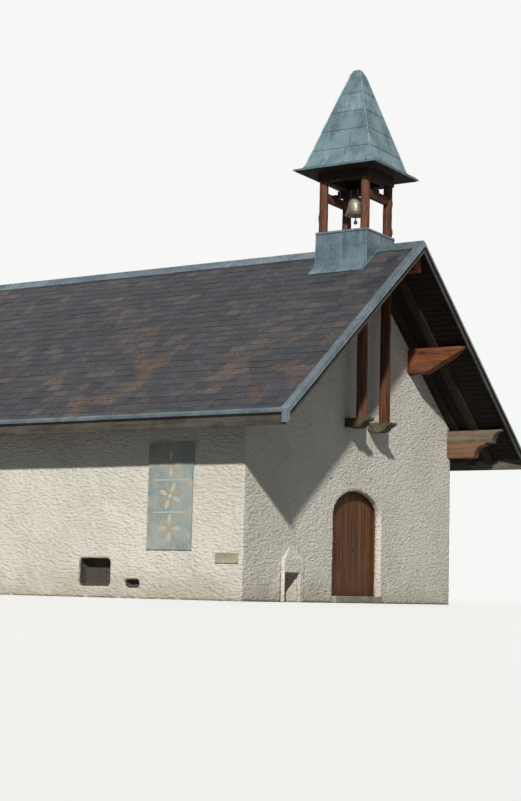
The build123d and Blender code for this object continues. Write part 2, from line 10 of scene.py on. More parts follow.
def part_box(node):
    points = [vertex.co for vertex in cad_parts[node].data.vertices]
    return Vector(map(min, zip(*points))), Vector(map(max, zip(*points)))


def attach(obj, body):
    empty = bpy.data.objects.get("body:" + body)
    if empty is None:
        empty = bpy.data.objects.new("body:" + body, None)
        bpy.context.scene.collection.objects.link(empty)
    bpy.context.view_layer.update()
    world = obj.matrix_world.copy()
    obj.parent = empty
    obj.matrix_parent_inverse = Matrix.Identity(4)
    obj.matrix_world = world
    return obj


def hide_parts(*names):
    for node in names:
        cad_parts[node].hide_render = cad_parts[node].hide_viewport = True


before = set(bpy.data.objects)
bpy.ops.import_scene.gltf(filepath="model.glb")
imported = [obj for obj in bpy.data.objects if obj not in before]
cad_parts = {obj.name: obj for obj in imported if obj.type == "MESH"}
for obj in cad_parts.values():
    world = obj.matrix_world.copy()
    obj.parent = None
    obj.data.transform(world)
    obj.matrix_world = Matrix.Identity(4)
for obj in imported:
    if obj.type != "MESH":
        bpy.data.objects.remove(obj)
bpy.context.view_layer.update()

bl_info = {
    "name": "Small Mountain Chapel",
    "version": (1, 0, 0),
    "blender": (4, 5, 0),
    "location": "View3D > Sidebar > Chapel",
    "description": "Builds the finishes of a small mountain chapel around its CAD frame",
    "category": "Object",
}

# Places read from the frame, in metres.
ROOF_LOW, ROOF_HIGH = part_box("roof_covering_left")
RIDGE_Z = ROOF_HIGH.z
ROOF_HALF = -ROOF_LOW.x
ROOF_FRONT, ROOF_REAR = ROOF_LOW.y, ROOF_HIGH.y
SLOPE = 0.767
PITCH = math.atan(SLOPE)
GABLE_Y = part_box("front_wall_left")[0].y
REAR_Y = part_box("back_wall")[1].y
WALL_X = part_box("right_wall")[1].x
WALL_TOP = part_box("left_wall")[1].z
SEAM_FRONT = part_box("left_wall")[0].y
SEAM_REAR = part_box("left_wall")[1].y
TURRET_Y = sum(corner.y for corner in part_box("turret_soffit")) / 2
BASE_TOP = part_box("turret_base")[1].z
EAVE_Z = RIDGE_Z - ROOF_HALF * SLOPE
CORNERS = ((-1, -1), (1, -1), (1, 1), (-1, 1))

# Start of the noise that dents sheet and makes timber wander, set so that each run gives the same shapes.
NOISE_SEED = 1

# Places inside the CAD pieces, in metres.
BOARD_THICKNESS, COVERING_THICKNESS = 0.034, 0.042
BASE_HALF = 0.525
RAIL_TOP, BELL_AXIS = 7.42, 7.44
BELL_HEIGHT = 0.345
PIVOT_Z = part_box("bell")[0].z + BELL_HEIGHT - 0.062
SPIRE_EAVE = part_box("turret_roof")[0].z + 0.025

# Putlog holes left open in the gable, as x, z and radius, whose shade is painted as dark discs, and the space
# behind the niche and vent, whose shade is painted nearly black.
PUTLOG_HOLES = ((-0.991, 2.154, 0.030), (-0.278, 2.101, 0.028), (0.457, 2.245, 0.028), (-1.72, 3.02, 0.024))
NICHE_SHADE_SPACE = ((-3.705, GABLE_Y + 1.9, 0.05), (-3.40, GABLE_Y + 3.5, 0.80))


def settings(group):
    """One group of the chapel's settings."""
    return getattr(bpy.context.scene, "chapel_" + group)


# ---------------------------------------------------------------- node helpers

def put(tree, kind, feeds=None, **options):
    """Adds a node, sets its options, and feeds its inputs with values or other nodes' outputs."""
    node = tree.nodes.new(kind)
    for key, value in options.items():
        setattr(node, key, value)
    for key, value in (feeds or {}).items():
        socket = node.inputs[key]
        if isinstance(value, bpy.types.NodeSocket):
            tree.links.new(value, socket)
        else:
            socket.default_value = value
    return node


def maths(tree, operation, first, second=0.0, clamp=False):
    """Result of one sum on values or sockets."""
    feeds = {0: first, 1: second}
    return put(tree, "ShaderNodeMath", feeds, operation=operation, use_clamp=clamp).outputs[0]


def product(tree, first, second):
    """Product of two values."""
    return maths(tree, "MULTIPLY", first, second)


def scaled(tree, value, factor, least):
    """Value times a factor, on top of a least value."""
    return maths(tree, "ADD", product(tree, value, factor), least)


def vector_maths(tree, operation, first, second):
    """Result of one sum on vectors, where SCALE takes a number second."""
    feeds = {0: first, "Scale" if operation == "SCALE" else 1: second}
    return put(tree, "ShaderNodeVectorMath", feeds, operation=operation).outputs[0]


def rgb(colour):
    """Colour with full alpha. A word names a colour setting, and a socket stays as it is."""
    if isinstance(colour, bpy.types.NodeSocket):
        return colour
    if isinstance(colour, str):
        colour = getattr(settings("colours"), colour)
    return (*colour[:3], 1.0)


def shaded(colour, share):
    """Colour with its three parts times a share."""
    return [part * share for part in rgb(colour)[:3]]


def mixed(tree, share, first, second):
    """Colour between two colours."""
    feeds = {0: share, 6: rgb(first), 7: rgb(second)}
    return put(tree, "ShaderNodeMix", feeds, data_type="RGBA").outputs[2]


def tinted(tree, colour, mask, share, tint):
    """Colour drawn to a tint where a mask is up, by a share at most."""
    return mixed(tree, product(tree, mask, share), colour, tint)


def ramp(tree, value, low, high):
    """Mask that rises from 0 at low to 1 at high, smoothly."""
    feeds = {"Value": value, "From Min": low, "From Max": high}
    return put(tree, "ShaderNodeMapRange", feeds, interpolation_type="SMOOTHSTEP").outputs[0]


def fractal(tree, vector, scale, detail=4.0, roughness=0.55, distortion=0.0):
    """Noise from 0 to 1."""
    feeds = {"Vector": vector, "Scale": scale, "Detail": detail, "Roughness": roughness,
             "Distortion": distortion}
    return put(tree, "ShaderNodeTexNoise", feeds).outputs[0]


def stretched(tree, vector, scale):
    """Vector with its three parts scaled apart."""
    return put(tree, "ShaderNodeMapping", {"Vector": vector, "Scale": scale}).outputs[0]


def attribute(tree, name, output="Fac"):
    """Reading of a vertex attribute."""
    return put(tree, "ShaderNodeAttribute", attribute_name=name).outputs[output]


def feed(tree, shader, name, value):
    """Feeds one input of a shader."""
    tree.links.new(value, shader.inputs[name])


def new_group(name, kind, inputs, outputs):
    """Empty node group with its sockets as (label, kind, default), and what its input node gives."""
    tree = bpy.data.node_groups.new(name, kind)
    for way, sockets in (("INPUT", inputs), ("OUTPUT", outputs)):
        for label, what, *default in sockets:
            socket = tree.interface.new_socket(label, in_out=way, socket_type="NodeSocket" + what)
            if default:
                socket.default_value = default[0]
    return tree, tree.nodes.new("NodeGroupInput").outputs


def deliver(tree, *values):
    """Output node of a group, fed with its results in their order."""
    end = tree.nodes.new("NodeGroupOutput")
    for value, socket in zip(values, end.inputs):
        tree.links.new(value, socket)
    return tree


def node_group(name):
    """Shared node group by name, built the first time."""
    makers = {"weathering": weather_group, "timber_grain": grain_group, "trowelled_surface": trowel_tree,
              "board_row": row_tree, "laid_slates": lambda: laid_tree("laid_slates", 3),
              "laid_studs": lambda: laid_tree("laid_studs", 1)}
    return bpy.data.node_groups.get(name) or makers[name]()


def effect(tree, name, feeds):
    """Outputs of one use of a shared effect in a material."""
    return put(tree, "ShaderNodeGroup", feeds, node_tree=node_group(name)).outputs


def weathered(tree, place, patch_scale, streak_width):
    """Masks of the weathering effect."""
    feeds = {"Vector": place, "Patch Scale": patch_scale, "Streak Width": streak_width}
    return effect(tree, "weathering", feeds)


def new_material(name, roughness=0.8, metallic=0.0, specular=0.5):
    """Material with its Principled shader, and the plain object coordinates."""
    material = bpy.data.materials.new(name)
    material.use_nodes = True
    tree = material.node_tree
    shader = tree.nodes["Principled BSDF"]
    shader.inputs["Roughness"].default_value = roughness
    shader.inputs["Metallic"].default_value = metallic
    shader.inputs["Specular IOR Level"].default_value = specular
    coordinates = tree.nodes.new("ShaderNodeTexCoord").outputs["Object"]
    return material, tree, shader, coordinates


def bump(tree, shader, height, strength, distance):
    """Relief on a material, added before any relief that it has."""
    feeds = {"Height": height, "Strength": strength, "Distance": distance}
    node = put(tree, "ShaderNodeBump", feeds)
    socket = shader.inputs["Normal"]
    if socket.is_linked:
        tree.links.new(socket.links[0].from_socket, node.inputs["Normal"])
    tree.links.new(node.outputs[0], socket)


def grit(tree, shader, place, *coats):
    """Relief from noise, each coat as scale, detail, roughness, strength and distance."""
    for scale, detail, roughness, strength, distance in coats:
        bump(tree, shader, fractal(tree, place, scale, detail, roughness), strength, distance)


# ---------------------------------------------------------------- shared effects

def weather_group():
    """Broad patches, small patches, specks and running streaks over a surface."""
    inputs = (("Vector", "Vector"), ("Patch Scale", "Float", 1.2), ("Streak Width", "Float", 7.0))
    outputs = [(label, "Float") for label in ("Patches", "Mottle", "Specks", "Streaks")]
    tree, start = new_group("weathering", "ShaderNodeTree", inputs, outputs)
    vector, scale, width = start[:3]
    patches = ramp(tree, fractal(tree, vector, scale, 5.0, 0.6, 0.4), 0.36, 0.66)
    mottle = ramp(tree, fractal(tree, vector, product(tree, scale, 9.0), 4.0, 0.6), 0.3, 0.72)
    specks = ramp(tree, fractal(tree, vector, product(tree, scale, 55.0), 2.0, 0.5), 0.62, 0.72)
    wide = put(tree, "ShaderNodeCombineXYZ", {"X": width, "Y": width, "Z": 0.45}).outputs[0]
    runs = vector_maths(tree, "MULTIPLY", vector, wide)
    streaks = ramp(tree, fractal(tree, runs, 1.0, 4.0, 0.6), 0.5, 0.72)
    return deliver(tree, patches, mottle, specks, streaks)


def grain_group():
    """Timber grain along the X of its vector: bands, fibres, drying cracks and knots."""
    inputs = (("Vector", "Vector"), ("Board", "Float", 0.0))
    outputs = [(label, "Float") for label in ("Bands", "Fibres", "Cracks", "Knots")]
    tree, start = new_group("timber_grain", "ShaderNodeTree", inputs, outputs)
    shift = vector_maths(tree, "MULTIPLY", start[1], (17.3, 5.1, 9.7))
    vector = vector_maths(tree, "ADD", start[0], shift)
    bands = fractal(tree, stretched(tree, vector, (0.9, 13.0, 13.0)), 1.0, 4.0, 0.55, 0.6)
    fibres = fractal(tree, stretched(tree, vector, (4.0, 110.0, 110.0)), 1.0, 3.0, 0.6)
    split = fractal(tree, stretched(tree, vector, (1.3, 34.0, 34.0)), 1.0, 2.0, 0.5, 0.3)
    cracks = ramp(tree, maths(tree, "ABSOLUTE", maths(tree, "SUBTRACT", split, 0.5)), 0.012, 0.0)
    feeds = {"Vector": stretched(tree, vector, (1.1, 4.2, 4.2)), "Scale": 1.0}
    knots = ramp(tree, put(tree, "ShaderNodeTexVoronoi", feeds).outputs["Distance"], 0.13, 0.05)
    return deliver(tree, bands, fibres, cracks, knots)


# ---------------------------------------------------------------- materials

def render_material(tree, shader, place):
    """Cream lime render, trowelled in rough ripples, with light stains and a damp foot, and with painted
    shade in the ripples' hollows, the putlog holes and the niche.
    """
    worn = weathered(tree, place, 0.8, 5.0)
    colour = mixed(tree, worn["Patches"], "render_light", "render_dark")
    colour = tinted(tree, colour, worn["Mottle"], 0.12, (0.50, 0.46, 0.37))
    colour = tinted(tree, colour, worn["Streaks"], 0.10, (0.42, 0.39, 0.32))
    height = put(tree, "ShaderNodeSeparateXYZ", {0: place}).outputs["Z"]
    foot = maths(tree, "SUBTRACT", height, fractal(tree, place, 2.2, 5.0, 0.65))
    colour = tinted(tree, colour, ramp(tree, foot, 0.05, -0.50), 0.55, (0.36, 0.33, 0.25))
    # Each putlog hole is painted as a dark disc: painted shade.
    for x, z, radius in PUTLOG_HOLES:
        feeds = {0: place, 1: (x, GABLE_Y, z)}
        away = put(tree, "ShaderNodeVectorMath", feeds, operation="DISTANCE").outputs["Value"]
        colour = mixed(tree, ramp(tree, away, radius, radius * 0.6), colour, (0.06, 0.055, 0.045))
    # Where the trowel ripples sink, the render is painted darker: painted shade in their hollows, besides
    # their relief.
    ripple = fractal(tree, stretched(tree, place, (1.0, 1.0, 2.3)), 11.0, 2.0, 0.5, 0.25)
    colour = tinted(tree, colour, ramp(tree, ripple, 0.46, 0.28), 0.30, (0.40, 0.37, 0.30))
    # The niche and vent are painted nearly black inside: painted shade.
    colour = tinted(tree, colour, inside(tree, place, NICHE_SHADE_SPACE), 0.94, (0.045, 0.040, 0.034))
    colour = tinted(tree, colour, worn["Specks"], 0.22, (0.34, 0.31, 0.25))
    feed(tree, shader, "Base Color", colour)
    grit(tree, shader, place, (120.0, 3.0, 0.6, 0.6, 0.004))
    grit(tree, shader, stretched(tree, place, (1.0, 1.0, 1.5)), (34.0, 3.0, 0.55, 0.9, 0.016))
    bump(tree, shader, ripple, 0.9, 0.034)


def inside(tree, place, space):
    """One inside a box-shaped space, nought outside it."""
    parts = put(tree, "ShaderNodeSeparateXYZ", {0: place}).outputs
    mask = 1.0
    for name, low, high in zip("XYZ", *space):
        away = maths(tree, "ABSOLUTE", maths(tree, "SUBTRACT", parts[name], (low + high) / 2))
        half = (high - low) / 2
        mask = product(tree, mask, ramp(tree, away, half, half - 0.04))
    return mask


def timber_material(tree, shader, place, light, dark, grey, greyness):
    """Weathered timber whose grain follows the piece's grain attribute."""
    tone = attribute(tree, "tone")
    grain = effect(tree, "timber_grain", {"Vector": attribute(tree, "grain", "Vector"), "Board": tone})
    worn = weathered(tree, place, 1.6, 9.0)
    colour = mixed(tree, ramp(tree, grain["Bands"], 0.34, 0.66), light, dark)
    colour = tinted(tree, colour, ramp(tree, grain["Fibres"], 0.35, 0.7), 0.35, shaded(dark, 0.45))
    silver = product(tree, worn["Patches"], greyness)
    silver = maths(tree, "ADD", silver, product(tree, tone, greyness * 0.5), clamp=True)
    colour = mixed(tree, silver, colour, grey)
    colour = tinted(tree, colour, grain["Knots"], 0.8, shaded(dark, 0.35))
    colour = tinted(tree, colour, grain["Cracks"], 0.75, (0.015, 0.011, 0.009))
    feed(tree, shader, "Base Color", toned(tree, colour, tone, 0.45, 0.78))
    bump(tree, shader, maths(tree, "SUBTRACT", grain["Fibres"], grain["Cracks"]), 0.55, 0.004)
    bump(tree, shader, grain["Bands"], 0.5, 0.006)


def toned(tree, colour, tone, spread, least):
    """Colour made lighter or darker by the part's own tone."""
    feeds = {"Color": colour, "Value": scaled(tree, tone, spread, least)}
    return put(tree, "ShaderNodeHueSaturation", feeds).outputs[0]


def slate_material(tree, shader, place):
    """Grey-violet riven slates, each of its own tone, with lichen and a brown stain low on the slope."""
    tone = attribute(tree, "tone")
    worn = weathered(tree, place, 0.55, 3.0)
    colour = mixed(tree, tone, "slate_dark", "slate_light")
    warm = ramp(tree, maths(tree, "FRACT", product(tree, tone, 7.31)), 0.80, 0.95)
    colour = tinted(tree, colour, warm, 0.30, (0.150, 0.128, 0.112))
    colour = tinted(tree, colour, worn["Mottle"], 0.4, (0.070, 0.070, 0.080))
    stain = ramp(tree, fractal(tree, place, 1.3, 6.0, 0.68, 0.5), 0.50, 0.66)
    height = put(tree, "ShaderNodeSeparateXYZ", {0: place}).outputs["Z"]
    stain = product(tree, stain, ramp(tree, height, RIDGE_Z - 0.6, RIDGE_Z - 2.0))
    stain = product(tree, stain, ramp(tree, fractal(tree, place, 34.0, 3.0, 0.7), 0.42, 0.58))
    colour = tinted(tree, colour, stain, settings("colours").stain_share, "roof_stain")
    lichen = product(tree, worn["Specks"], ramp(tree, fractal(tree, place, 2.4), 0.5, 0.62))
    feed(tree, shader, "Base Color", tinted(tree, colour, lichen, 0.6, (0.33, 0.33, 0.25)))
    feed(tree, shader, "Roughness", scaled(tree, worn["Mottle"], 0.25, 0.5))
    grit(tree, shader, place, (60.0, 4.0, 0.65, 0.6, 0.004))
    grit(tree, shader, stretched(tree, place, (1.0, 1.6, 1.0)), (13.0, 4.0, 0.6, 0.5, 0.01))


def sheet_material(tree, shader, place, light, dark, pale, patch_scale=1.7):
    """Weathered sheet metal: cloudy oxide, pale run-off streaks, dull spots and slight dents."""
    worn = weathered(tree, place, patch_scale, 11.0)
    colour = mixed(tree, worn["Patches"], light, dark)
    cloud = [0.6 * a + 0.4 * b for a, b in zip(rgb(light), pale)]
    colour = tinted(tree, colour, worn["Mottle"], 0.45, cloud)
    colour = tinted(tree, colour, worn["Streaks"], 0.5, pale)
    colour = toned(tree, colour, attribute(tree, "tone"), 0.3, 0.86)
    feed(tree, shader, "Base Color", tinted(tree, colour, worn["Specks"], 0.3, shaded(dark, 0.35)))
    feed(tree, shader, "Roughness", scaled(tree, worn["Patches"], 0.18, 0.42))
    grit(tree, shader, place, (26.0, 3.0, 0.55, 0.25, 0.004), (3.2, 2.0, 0.5, 0.35, 0.03))


def stone_material(tree, shader, place, light, dark, scale=1.0):
    """Rough stone with grains and dark hollows."""
    worn = weathered(tree, place, 2.6 * scale, 8.0)
    colour = mixed(tree, worn["Patches"], light, dark)
    colour = tinted(tree, colour, worn["Mottle"], 0.5, shaded(dark, 0.6))
    grains = ramp(tree, fractal(tree, place, 130.0 * scale, 2.0), 0.56, 0.68)
    feed(tree, shader, "Base Color", tinted(tree, colour, grains, 0.4, shaded(light, 1.25)))
    grit(tree, shader, place, (90.0 * scale, 4.0, 0.65, 0.6, 0.004), (16.0 * scale, 5.0, 0.6, 0.6, 0.012))


def iron_material(tree, shader, place):
    """Dark forged iron with hammer marks and a little rust."""
    worn = weathered(tree, place, 9.0, 20.0)
    colour = mixed(tree, worn["Mottle"], (0.035, 0.034, 0.036), (0.075, 0.070, 0.068))
    feed(tree, shader, "Base Color", tinted(tree, colour, worn["Patches"], 0.45, (0.12, 0.045, 0.02)))
    grit(tree, shader, place, (70.0, 3.0, 0.55, 0.4, 0.003))


def bronze_material(tree, shader, place):
    """Dull beige bronze with a darker, greenish foot and turning marks."""
    worn = weathered(tree, place, 6.0, 16.0)
    colour = mixed(tree, worn["Patches"], "bell_light", "bell_dark")
    colour = tinted(tree, colour, worn["Streaks"], 0.4, (0.20, 0.21, 0.175))
    feed(tree, shader, "Base Color", tinted(tree, colour, worn["Specks"], 0.3, (0.05, 0.05, 0.04)))
    feed(tree, shader, "Roughness", scaled(tree, worn["Mottle"], 0.25, 0.35))
    grit(tree, shader, stretched(tree, place, (3.0, 3.0, 160.0)), (1.0, 2.0, 0.55, 0.2, 0.002))


def plaster_material(tree, shader, place, light, dark, rubbed):
    """Painted plaster, faded and rubbed."""
    worn = weathered(tree, place, 3.0, 14.0)
    colour = mixed(tree, worn["Patches"], light, dark)
    colour = tinted(tree, colour, worn["Mottle"], 0.3, rubbed)
    feed(tree, shader, "Base Color", tinted(tree, colour, worn["Specks"], 0.5, rubbed))
    grit(tree, shader, place, (45.0, 5.0, 0.65, 0.5, 0.004))


def flag_material(tree, shader, place):
    """Worn flagstones with dark joints."""
    worn = weathered(tree, place, 1.4, 4.0)
    feeds = {"Vector": place, "Color1": rgb((0.30, 0.28, 0.25)), "Color2": rgb((0.40, 0.38, 0.34)),
             "Mortar": rgb((0.10, 0.095, 0.085)), "Scale": 1.0, "Mortar Size": 0.008,
             "Mortar Smooth": 0.6, "Brick Width": 0.62, "Row Height": 0.45}
    flags = put(tree, "ShaderNodeTexBrick", feeds).outputs
    colour = tinted(tree, flags["Color"], worn["Mottle"], 0.45, (0.22, 0.205, 0.18))
    feed(tree, shader, "Base Color", colour)
    grit(tree, shader, place, (35.0, 4.0, 0.6, 0.4, 0.004))
    bump(tree, shader, maths(tree, "SUBTRACT", 1.0, flags["Fac"]), 0.6, 0.006)


# Every finish: its maker, roughness, metallic and specular level, and its own colours and scales.
SHEET = (sheet_material, 0.5, 0.45, 0.5)
TIMBER = (timber_material, 0.78, 0.0, 0.12)
STONE = (stone_material, 0.9, 0.0, 0.12)
PLASTER = (plaster_material, 0.9, 0.0, 0.25)
FINISHES = {
    "lime_render": (render_material, 0.95, 0.0, 0.12),
    "slate": (slate_material, 0.70, 0.0, 0.14),
    "forged_iron": (iron_material, 0.55, 0.7, 0.5),
    "bell_bronze": (bronze_material, 0.42, 0.5, 0.5),
    "flagstones": (flag_material, 0.75, 0.0, 0.4),
    "edge_sheet": (*SHEET, "zinc_light", "zinc_dark", (0.25, 0.31, 0.34)),
    "eave_sheet": (*SHEET, (0.110, 0.145, 0.172), (0.060, 0.084, 0.102), (0.18, 0.23, 0.26)),
    "base_sheet": (sheet_material, 0.5, 0.35, 0.5, (0.120, 0.180, 0.215), (0.050, 0.083, 0.108),
                   (0.22, 0.30, 0.335), 2.6),
    "spire_sheet": (sheet_material, 0.5, 0.30, 0.5, "spire_light", "spire_dark", (0.25, 0.345, 0.37), 2.8),
    "beam_timber": (*TIMBER, (0.260, 0.086, 0.029), (0.085, 0.026, 0.011), (0.17, 0.115, 0.085), 0.22),
    "plate_timber": (*TIMBER, (0.245, 0.190, 0.128), (0.125, 0.088, 0.056), (0.25, 0.22, 0.175), 0.45),
    "lower_plate_timber": (*TIMBER, (0.180, 0.088, 0.045), (0.080, 0.036, 0.019), (0.18, 0.135, 0.10), 0.3),
    # The next two timbers are darkened past the brown of the timber to the near black of its shade under the
    # roof, the turret and the edge strips: painted shade.
    "dark_timber": (*TIMBER, (0.036, 0.022, 0.015), (0.013, 0.008, 0.006), (0.055, 0.042, 0.034), 0.25),
    "soffit_timber": (*TIMBER, (0.022, 0.016, 0.012), (0.009, 0.0065, 0.005), (0.034, 0.028, 0.024), 0.3),
    "grey_timber": (*TIMBER, (0.092, 0.086, 0.070), (0.042, 0.038, 0.031), (0.125, 0.122, 0.105), 0.6),
    "post_timber": (timber_material, 0.85, 0.0, 0.12, (0.205, 0.072, 0.032), (0.055, 0.022, 0.014),
                    (0.125, 0.092, 0.074), 0.30),
    "door_timber": (timber_material, 0.6, 0.0, 0.12, (0.165, 0.062, 0.023), (0.055, 0.021, 0.009),
                    (0.11, 0.075, 0.050), 0.2),
    "corbel_stone": (*STONE, (0.135, 0.120, 0.083), (0.060, 0.053, 0.038)),
    "plaque_stone": (*STONE, (0.46, 0.43, 0.325), (0.33, 0.305, 0.225), 1.6),
    "threshold_stone": (*STONE, (0.34, 0.32, 0.28), (0.20, 0.19, 0.165)),
    "panel_ground": (*PLASTER, (0.20, 0.265, 0.285), (0.30, 0.35, 0.35), (0.40, 0.405, 0.36)),
    "panel_border": (*PLASTER, (0.20, 0.255, 0.268), (0.33, 0.36, 0.345), (0.44, 0.425, 0.365)),
    "panel_ochre": (*PLASTER, (0.39, 0.300, 0.195), (0.37, 0.325, 0.245), (0.31, 0.325, 0.295)),
    "panel_cream": (*PLASTER, (0.50, 0.470, 0.385), (0.43, 0.42, 0.35), (0.33, 0.345, 0.325)),
}
finishes = {}


def finish(name):
    """Material by name, built the first time."""
    if name not in finishes:
        maker, roughness, metallic, specular, *values = FINISHES[name]
        material, *parts = new_material(name, roughness, metallic, specular)
        maker(*parts, *values)
        finishes[name] = material
    return finishes[name]


# ---------------------------------------------------------------- mesh helpers

def cad_mesh(node, joined=True):
    """Merged copy of a CAD node, with its flat faces joined if asked."""
    bm = bmesh.new()
    bm.from_mesh(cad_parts[node].data)
    bmesh.ops.remove_doubles(bm, verts=bm.verts, dist=0.0001)
    if joined:
        bmesh.ops.dissolve_limit(bm, angle_limit=math.radians(1.0), verts=bm.verts, edges=bm.edges)
    return bm


def add_box(bm, low, high):
    """Closed box between two corners."""
    corners = [bm.verts.new((x, y, z)) for x in (low[0], high[0]) for y in (low[1], high[1])
               for z in (low[2], high[2])]
    for a, b, c, d in ((0, 1, 3, 2), (4, 6, 7, 5), (0, 4, 5, 1), (2, 3, 7, 6), (0, 2, 6, 4), (1, 5, 7, 3)):
        bm.faces.new((corners[a], corners[b], corners[c], corners[d]))


def box_mesh(low, high):
    """Closed box between two corners, by itself and facing outwards."""
    bm = bmesh.new()
    add_box(bm, low, high)
    bmesh.ops.recalc_face_normals(bm, faces=bm.faces)
    return bm


def skin(bm, rings, closed=False, ends=True):
    """Faces from ring to ring, and either round to the first ring or over both ends."""
    for one, two in zip(rings, rings[1:] + rings[:1] if closed else rings[1:]):
        for i in range(len(one)):
            j = (i + 1) % len(one)
            bm.faces.new((one[i], one[j], two[j], two[i]))
    if ends and not closed:
        bm.faces.new(rings[0][::-1])
        bm.faces.new(rings[-1])


def layer(bm, name, kind="float"):
    """Vertex attribute by name, made where it is missing."""
    layers = getattr(bm.verts.layers, kind)
    return layers.get(name) or layers.new(name)


def ring(bm, points, tone):
    """Vertices of one tone."""
    tones = layer(bm, "tone")
    vertices = [bm.verts.new(point) for point in points]
    for vertex in vertices:
        vertex[tones] = tone
    return vertices


def circle(radius, count):
    """Even points round a circle."""
    return [(radius * math.cos(t), radius * math.sin(t)) for t in spread(0.0, math.tau, count)[:-1]]


def spread(start, end, count):
    """Even places from start to end."""
    return [start + (end - start) * i / count for i in range(count + 1)]


def to_mesh(bm, name, smooth=None):
    """Mesh from a bmesh, shaded smooth below an angle in degrees if one is given."""
    mesh = bpy.data.meshes.new(name)
    bm.to_mesh(mesh)
    bm.free()
    if smooth is not None:
        mesh.shade_smooth()
        mesh.set_sharp_from_angle(angle=math.radians(smooth))
    return mesh


def new_object(name, mesh):
    """Object at the origin that holds a mesh."""
    obj = bpy.data.objects.new(name, mesh)
    bpy.context.scene.collection.objects.link(obj)
    return obj


def settled(obj):
    """Gives an object the plain mesh that its modifiers make, and removes them."""
    graph = bpy.context.evaluated_depsgraph_get()
    mesh = bpy.data.meshes.new_from_object(obj.evaluated_get(graph), preserve_all_data_layers=True,
                                           depsgraph=graph)
    obj.modifiers.clear()
    obj.data = mesh
    mesh.name = obj.name
    return obj


def remeshed(name, bm, voxel):
    """Object with the even, rounded mesh of a solid."""
    obj = new_object(name, to_mesh(bm, name))
    even = obj.modifiers.new("even mesh", "REMESH")
    even.mode = "VOXEL"
    even.voxel_size = voxel
    even.use_smooth_shade = True
    return settled(obj)


def merge(whole, bm, smooth=None):
    """Adds a part to a whole with its own shading."""
    part = to_mesh(bm, "part", smooth)
    whole.from_mesh(part)
    bpy.data.meshes.remove(part)


def fit(obj, material, slot, *stands_for, body="chapel"):
    """Gives a finished piece its material and its body, and hides the CAD nodes that it stands for."""
    obj.data.materials.clear()
    obj.data.materials.append(finish(material))
    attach(obj, body)
    if stands_for:
        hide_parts(*stands_for)
    return obj


def made(name, bm, smooth, material, slot, *stands_for, body="chapel"):
    """Finished piece from its closed shells, turned to face outwards."""
    bmesh.ops.recalc_face_normals(bm, faces=bm.faces)
    return fit(new_object(name, to_mesh(bm, name, smooth)), material, slot, *stands_for, body=body)


def dress(node, material):
    """Gives a CAD node that stays its finish."""
    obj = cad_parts[node]
    obj.data.materials.clear()
    obj.data.materials.append(finish(material))


def islands(bm):
    """Number of the separate part that every vertex belongs to."""
    part = {}
    count = 0
    for seed in bm.verts:
        if seed in part:
            continue
        reached = [seed]
        part[seed] = count
        while reached:
            vertex = reached.pop()
            for edge in vertex.link_edges:
                other = edge.other_vert(vertex)
                if other not in part:
                    part[other] = count
                    reached.append(other)
        count += 1
    return part


def grain_place(point, run):
    """Place of a point on its timber: along the grain, across it, and through it."""
    if run == "x":
        return Vector((point.x, point.y, point.z))
    if run == "y":
        return Vector((point.y, point.x, point.z))
    if run == "z":
        return Vector((point.z, point.x, point.y))
    along = abs(point.x) / math.cos(PITCH)
    return Vector((along, point.y, (point.z + abs(point.x) * SLOPE) * math.cos(PITCH)))


def give_grain(bm, run, seed):
    """Writes the grain and tone attributes that timber materials read."""
    chance = random.Random(seed)
    grain, tone = layer(bm, "grain", "float_vector"), layer(bm, "tone")
    part = islands(bm)
    tones = [chance.random() for _ in range(max(part.values()) + 1)]
    for vertex in bm.verts:
        vertex[grain] = grain_place(vertex.co, run)
        vertex[tone] = tones[part[vertex]]


def hewn(bm, run, bevel=0.012, step=0.3, wander=0.004, seed=1):
    """Turns a sharp timber into a hewn one: soft arrises, cuts along it, and slightly uneven faces."""
    sharp = [e for e in bm.edges if e.is_manifold and e.calc_face_angle() > math.radians(20)]
    bmesh.ops.bevel(bm, geom=sharp, offset=bevel, segments=2, profile=0.6, affect="EDGES",
                    clamp_overlap=True)
    index = {"x": 0, "y": 1, "z": 2, "slope": 0}[run]
    normal = Vector((0, 0, 0))
    normal[index] = 1.0
    low = min(v.co[index] for v in bm.verts)
    high = max(v.co[index] for v in bm.verts)
    cuts = max(1, int((high - low) / step))
    for i in range(1, cuts):
        place = normal * (low + (high - low) * i / cuts + 0.0007)
        bmesh.ops.bisect_plane(bm, geom=bm.verts[:] + bm.edges[:] + bm.faces[:], plane_co=place,
                               plane_no=normal)
    shift = Vector((seed * 3.7, seed * 1.3, seed * 2.1))
    for vertex in bm.verts:
        vertex.co += noise.noise_vector(vertex.co * 2.3 + shift) * wander
    give_grain(bm, run, seed)
    bmesh.ops.recalc_face_normals(bm, faces=bm.faces)
    return bm


def timber(name, node, run, material, slot, **shape):
    """Hewn timber that stands for a CAD node."""
    return made(name, hewn(cad_mesh(node), run, **shape), 35, material, slot, node)


def roof_point(side, run, lift):
    """Point of one slope at a level distance from the ridge, lifted at right angles to the slope."""
    x = run + lift * math.sin(PITCH)
    z = RIDGE_Z - run * SLOPE + lift * math.cos(PITCH)
    return side * x, z


# ---------------------------------------------------------------- geometry node trees

def use_tree(obj, tree, values):
    """Runs a geometry node tree on an object with values by input name, and settles the result."""
    modifier = obj.modifiers.new("shape", "NODES")
    modifier.node_group = tree
    for item in tree.interface.items_tree:
        if item.in_out == "INPUT" and item.name in values:
            modifier[item.identifier] = values[item.name]
    return settled(obj)


GEOMETRY = ("Geometry", "Geometry")


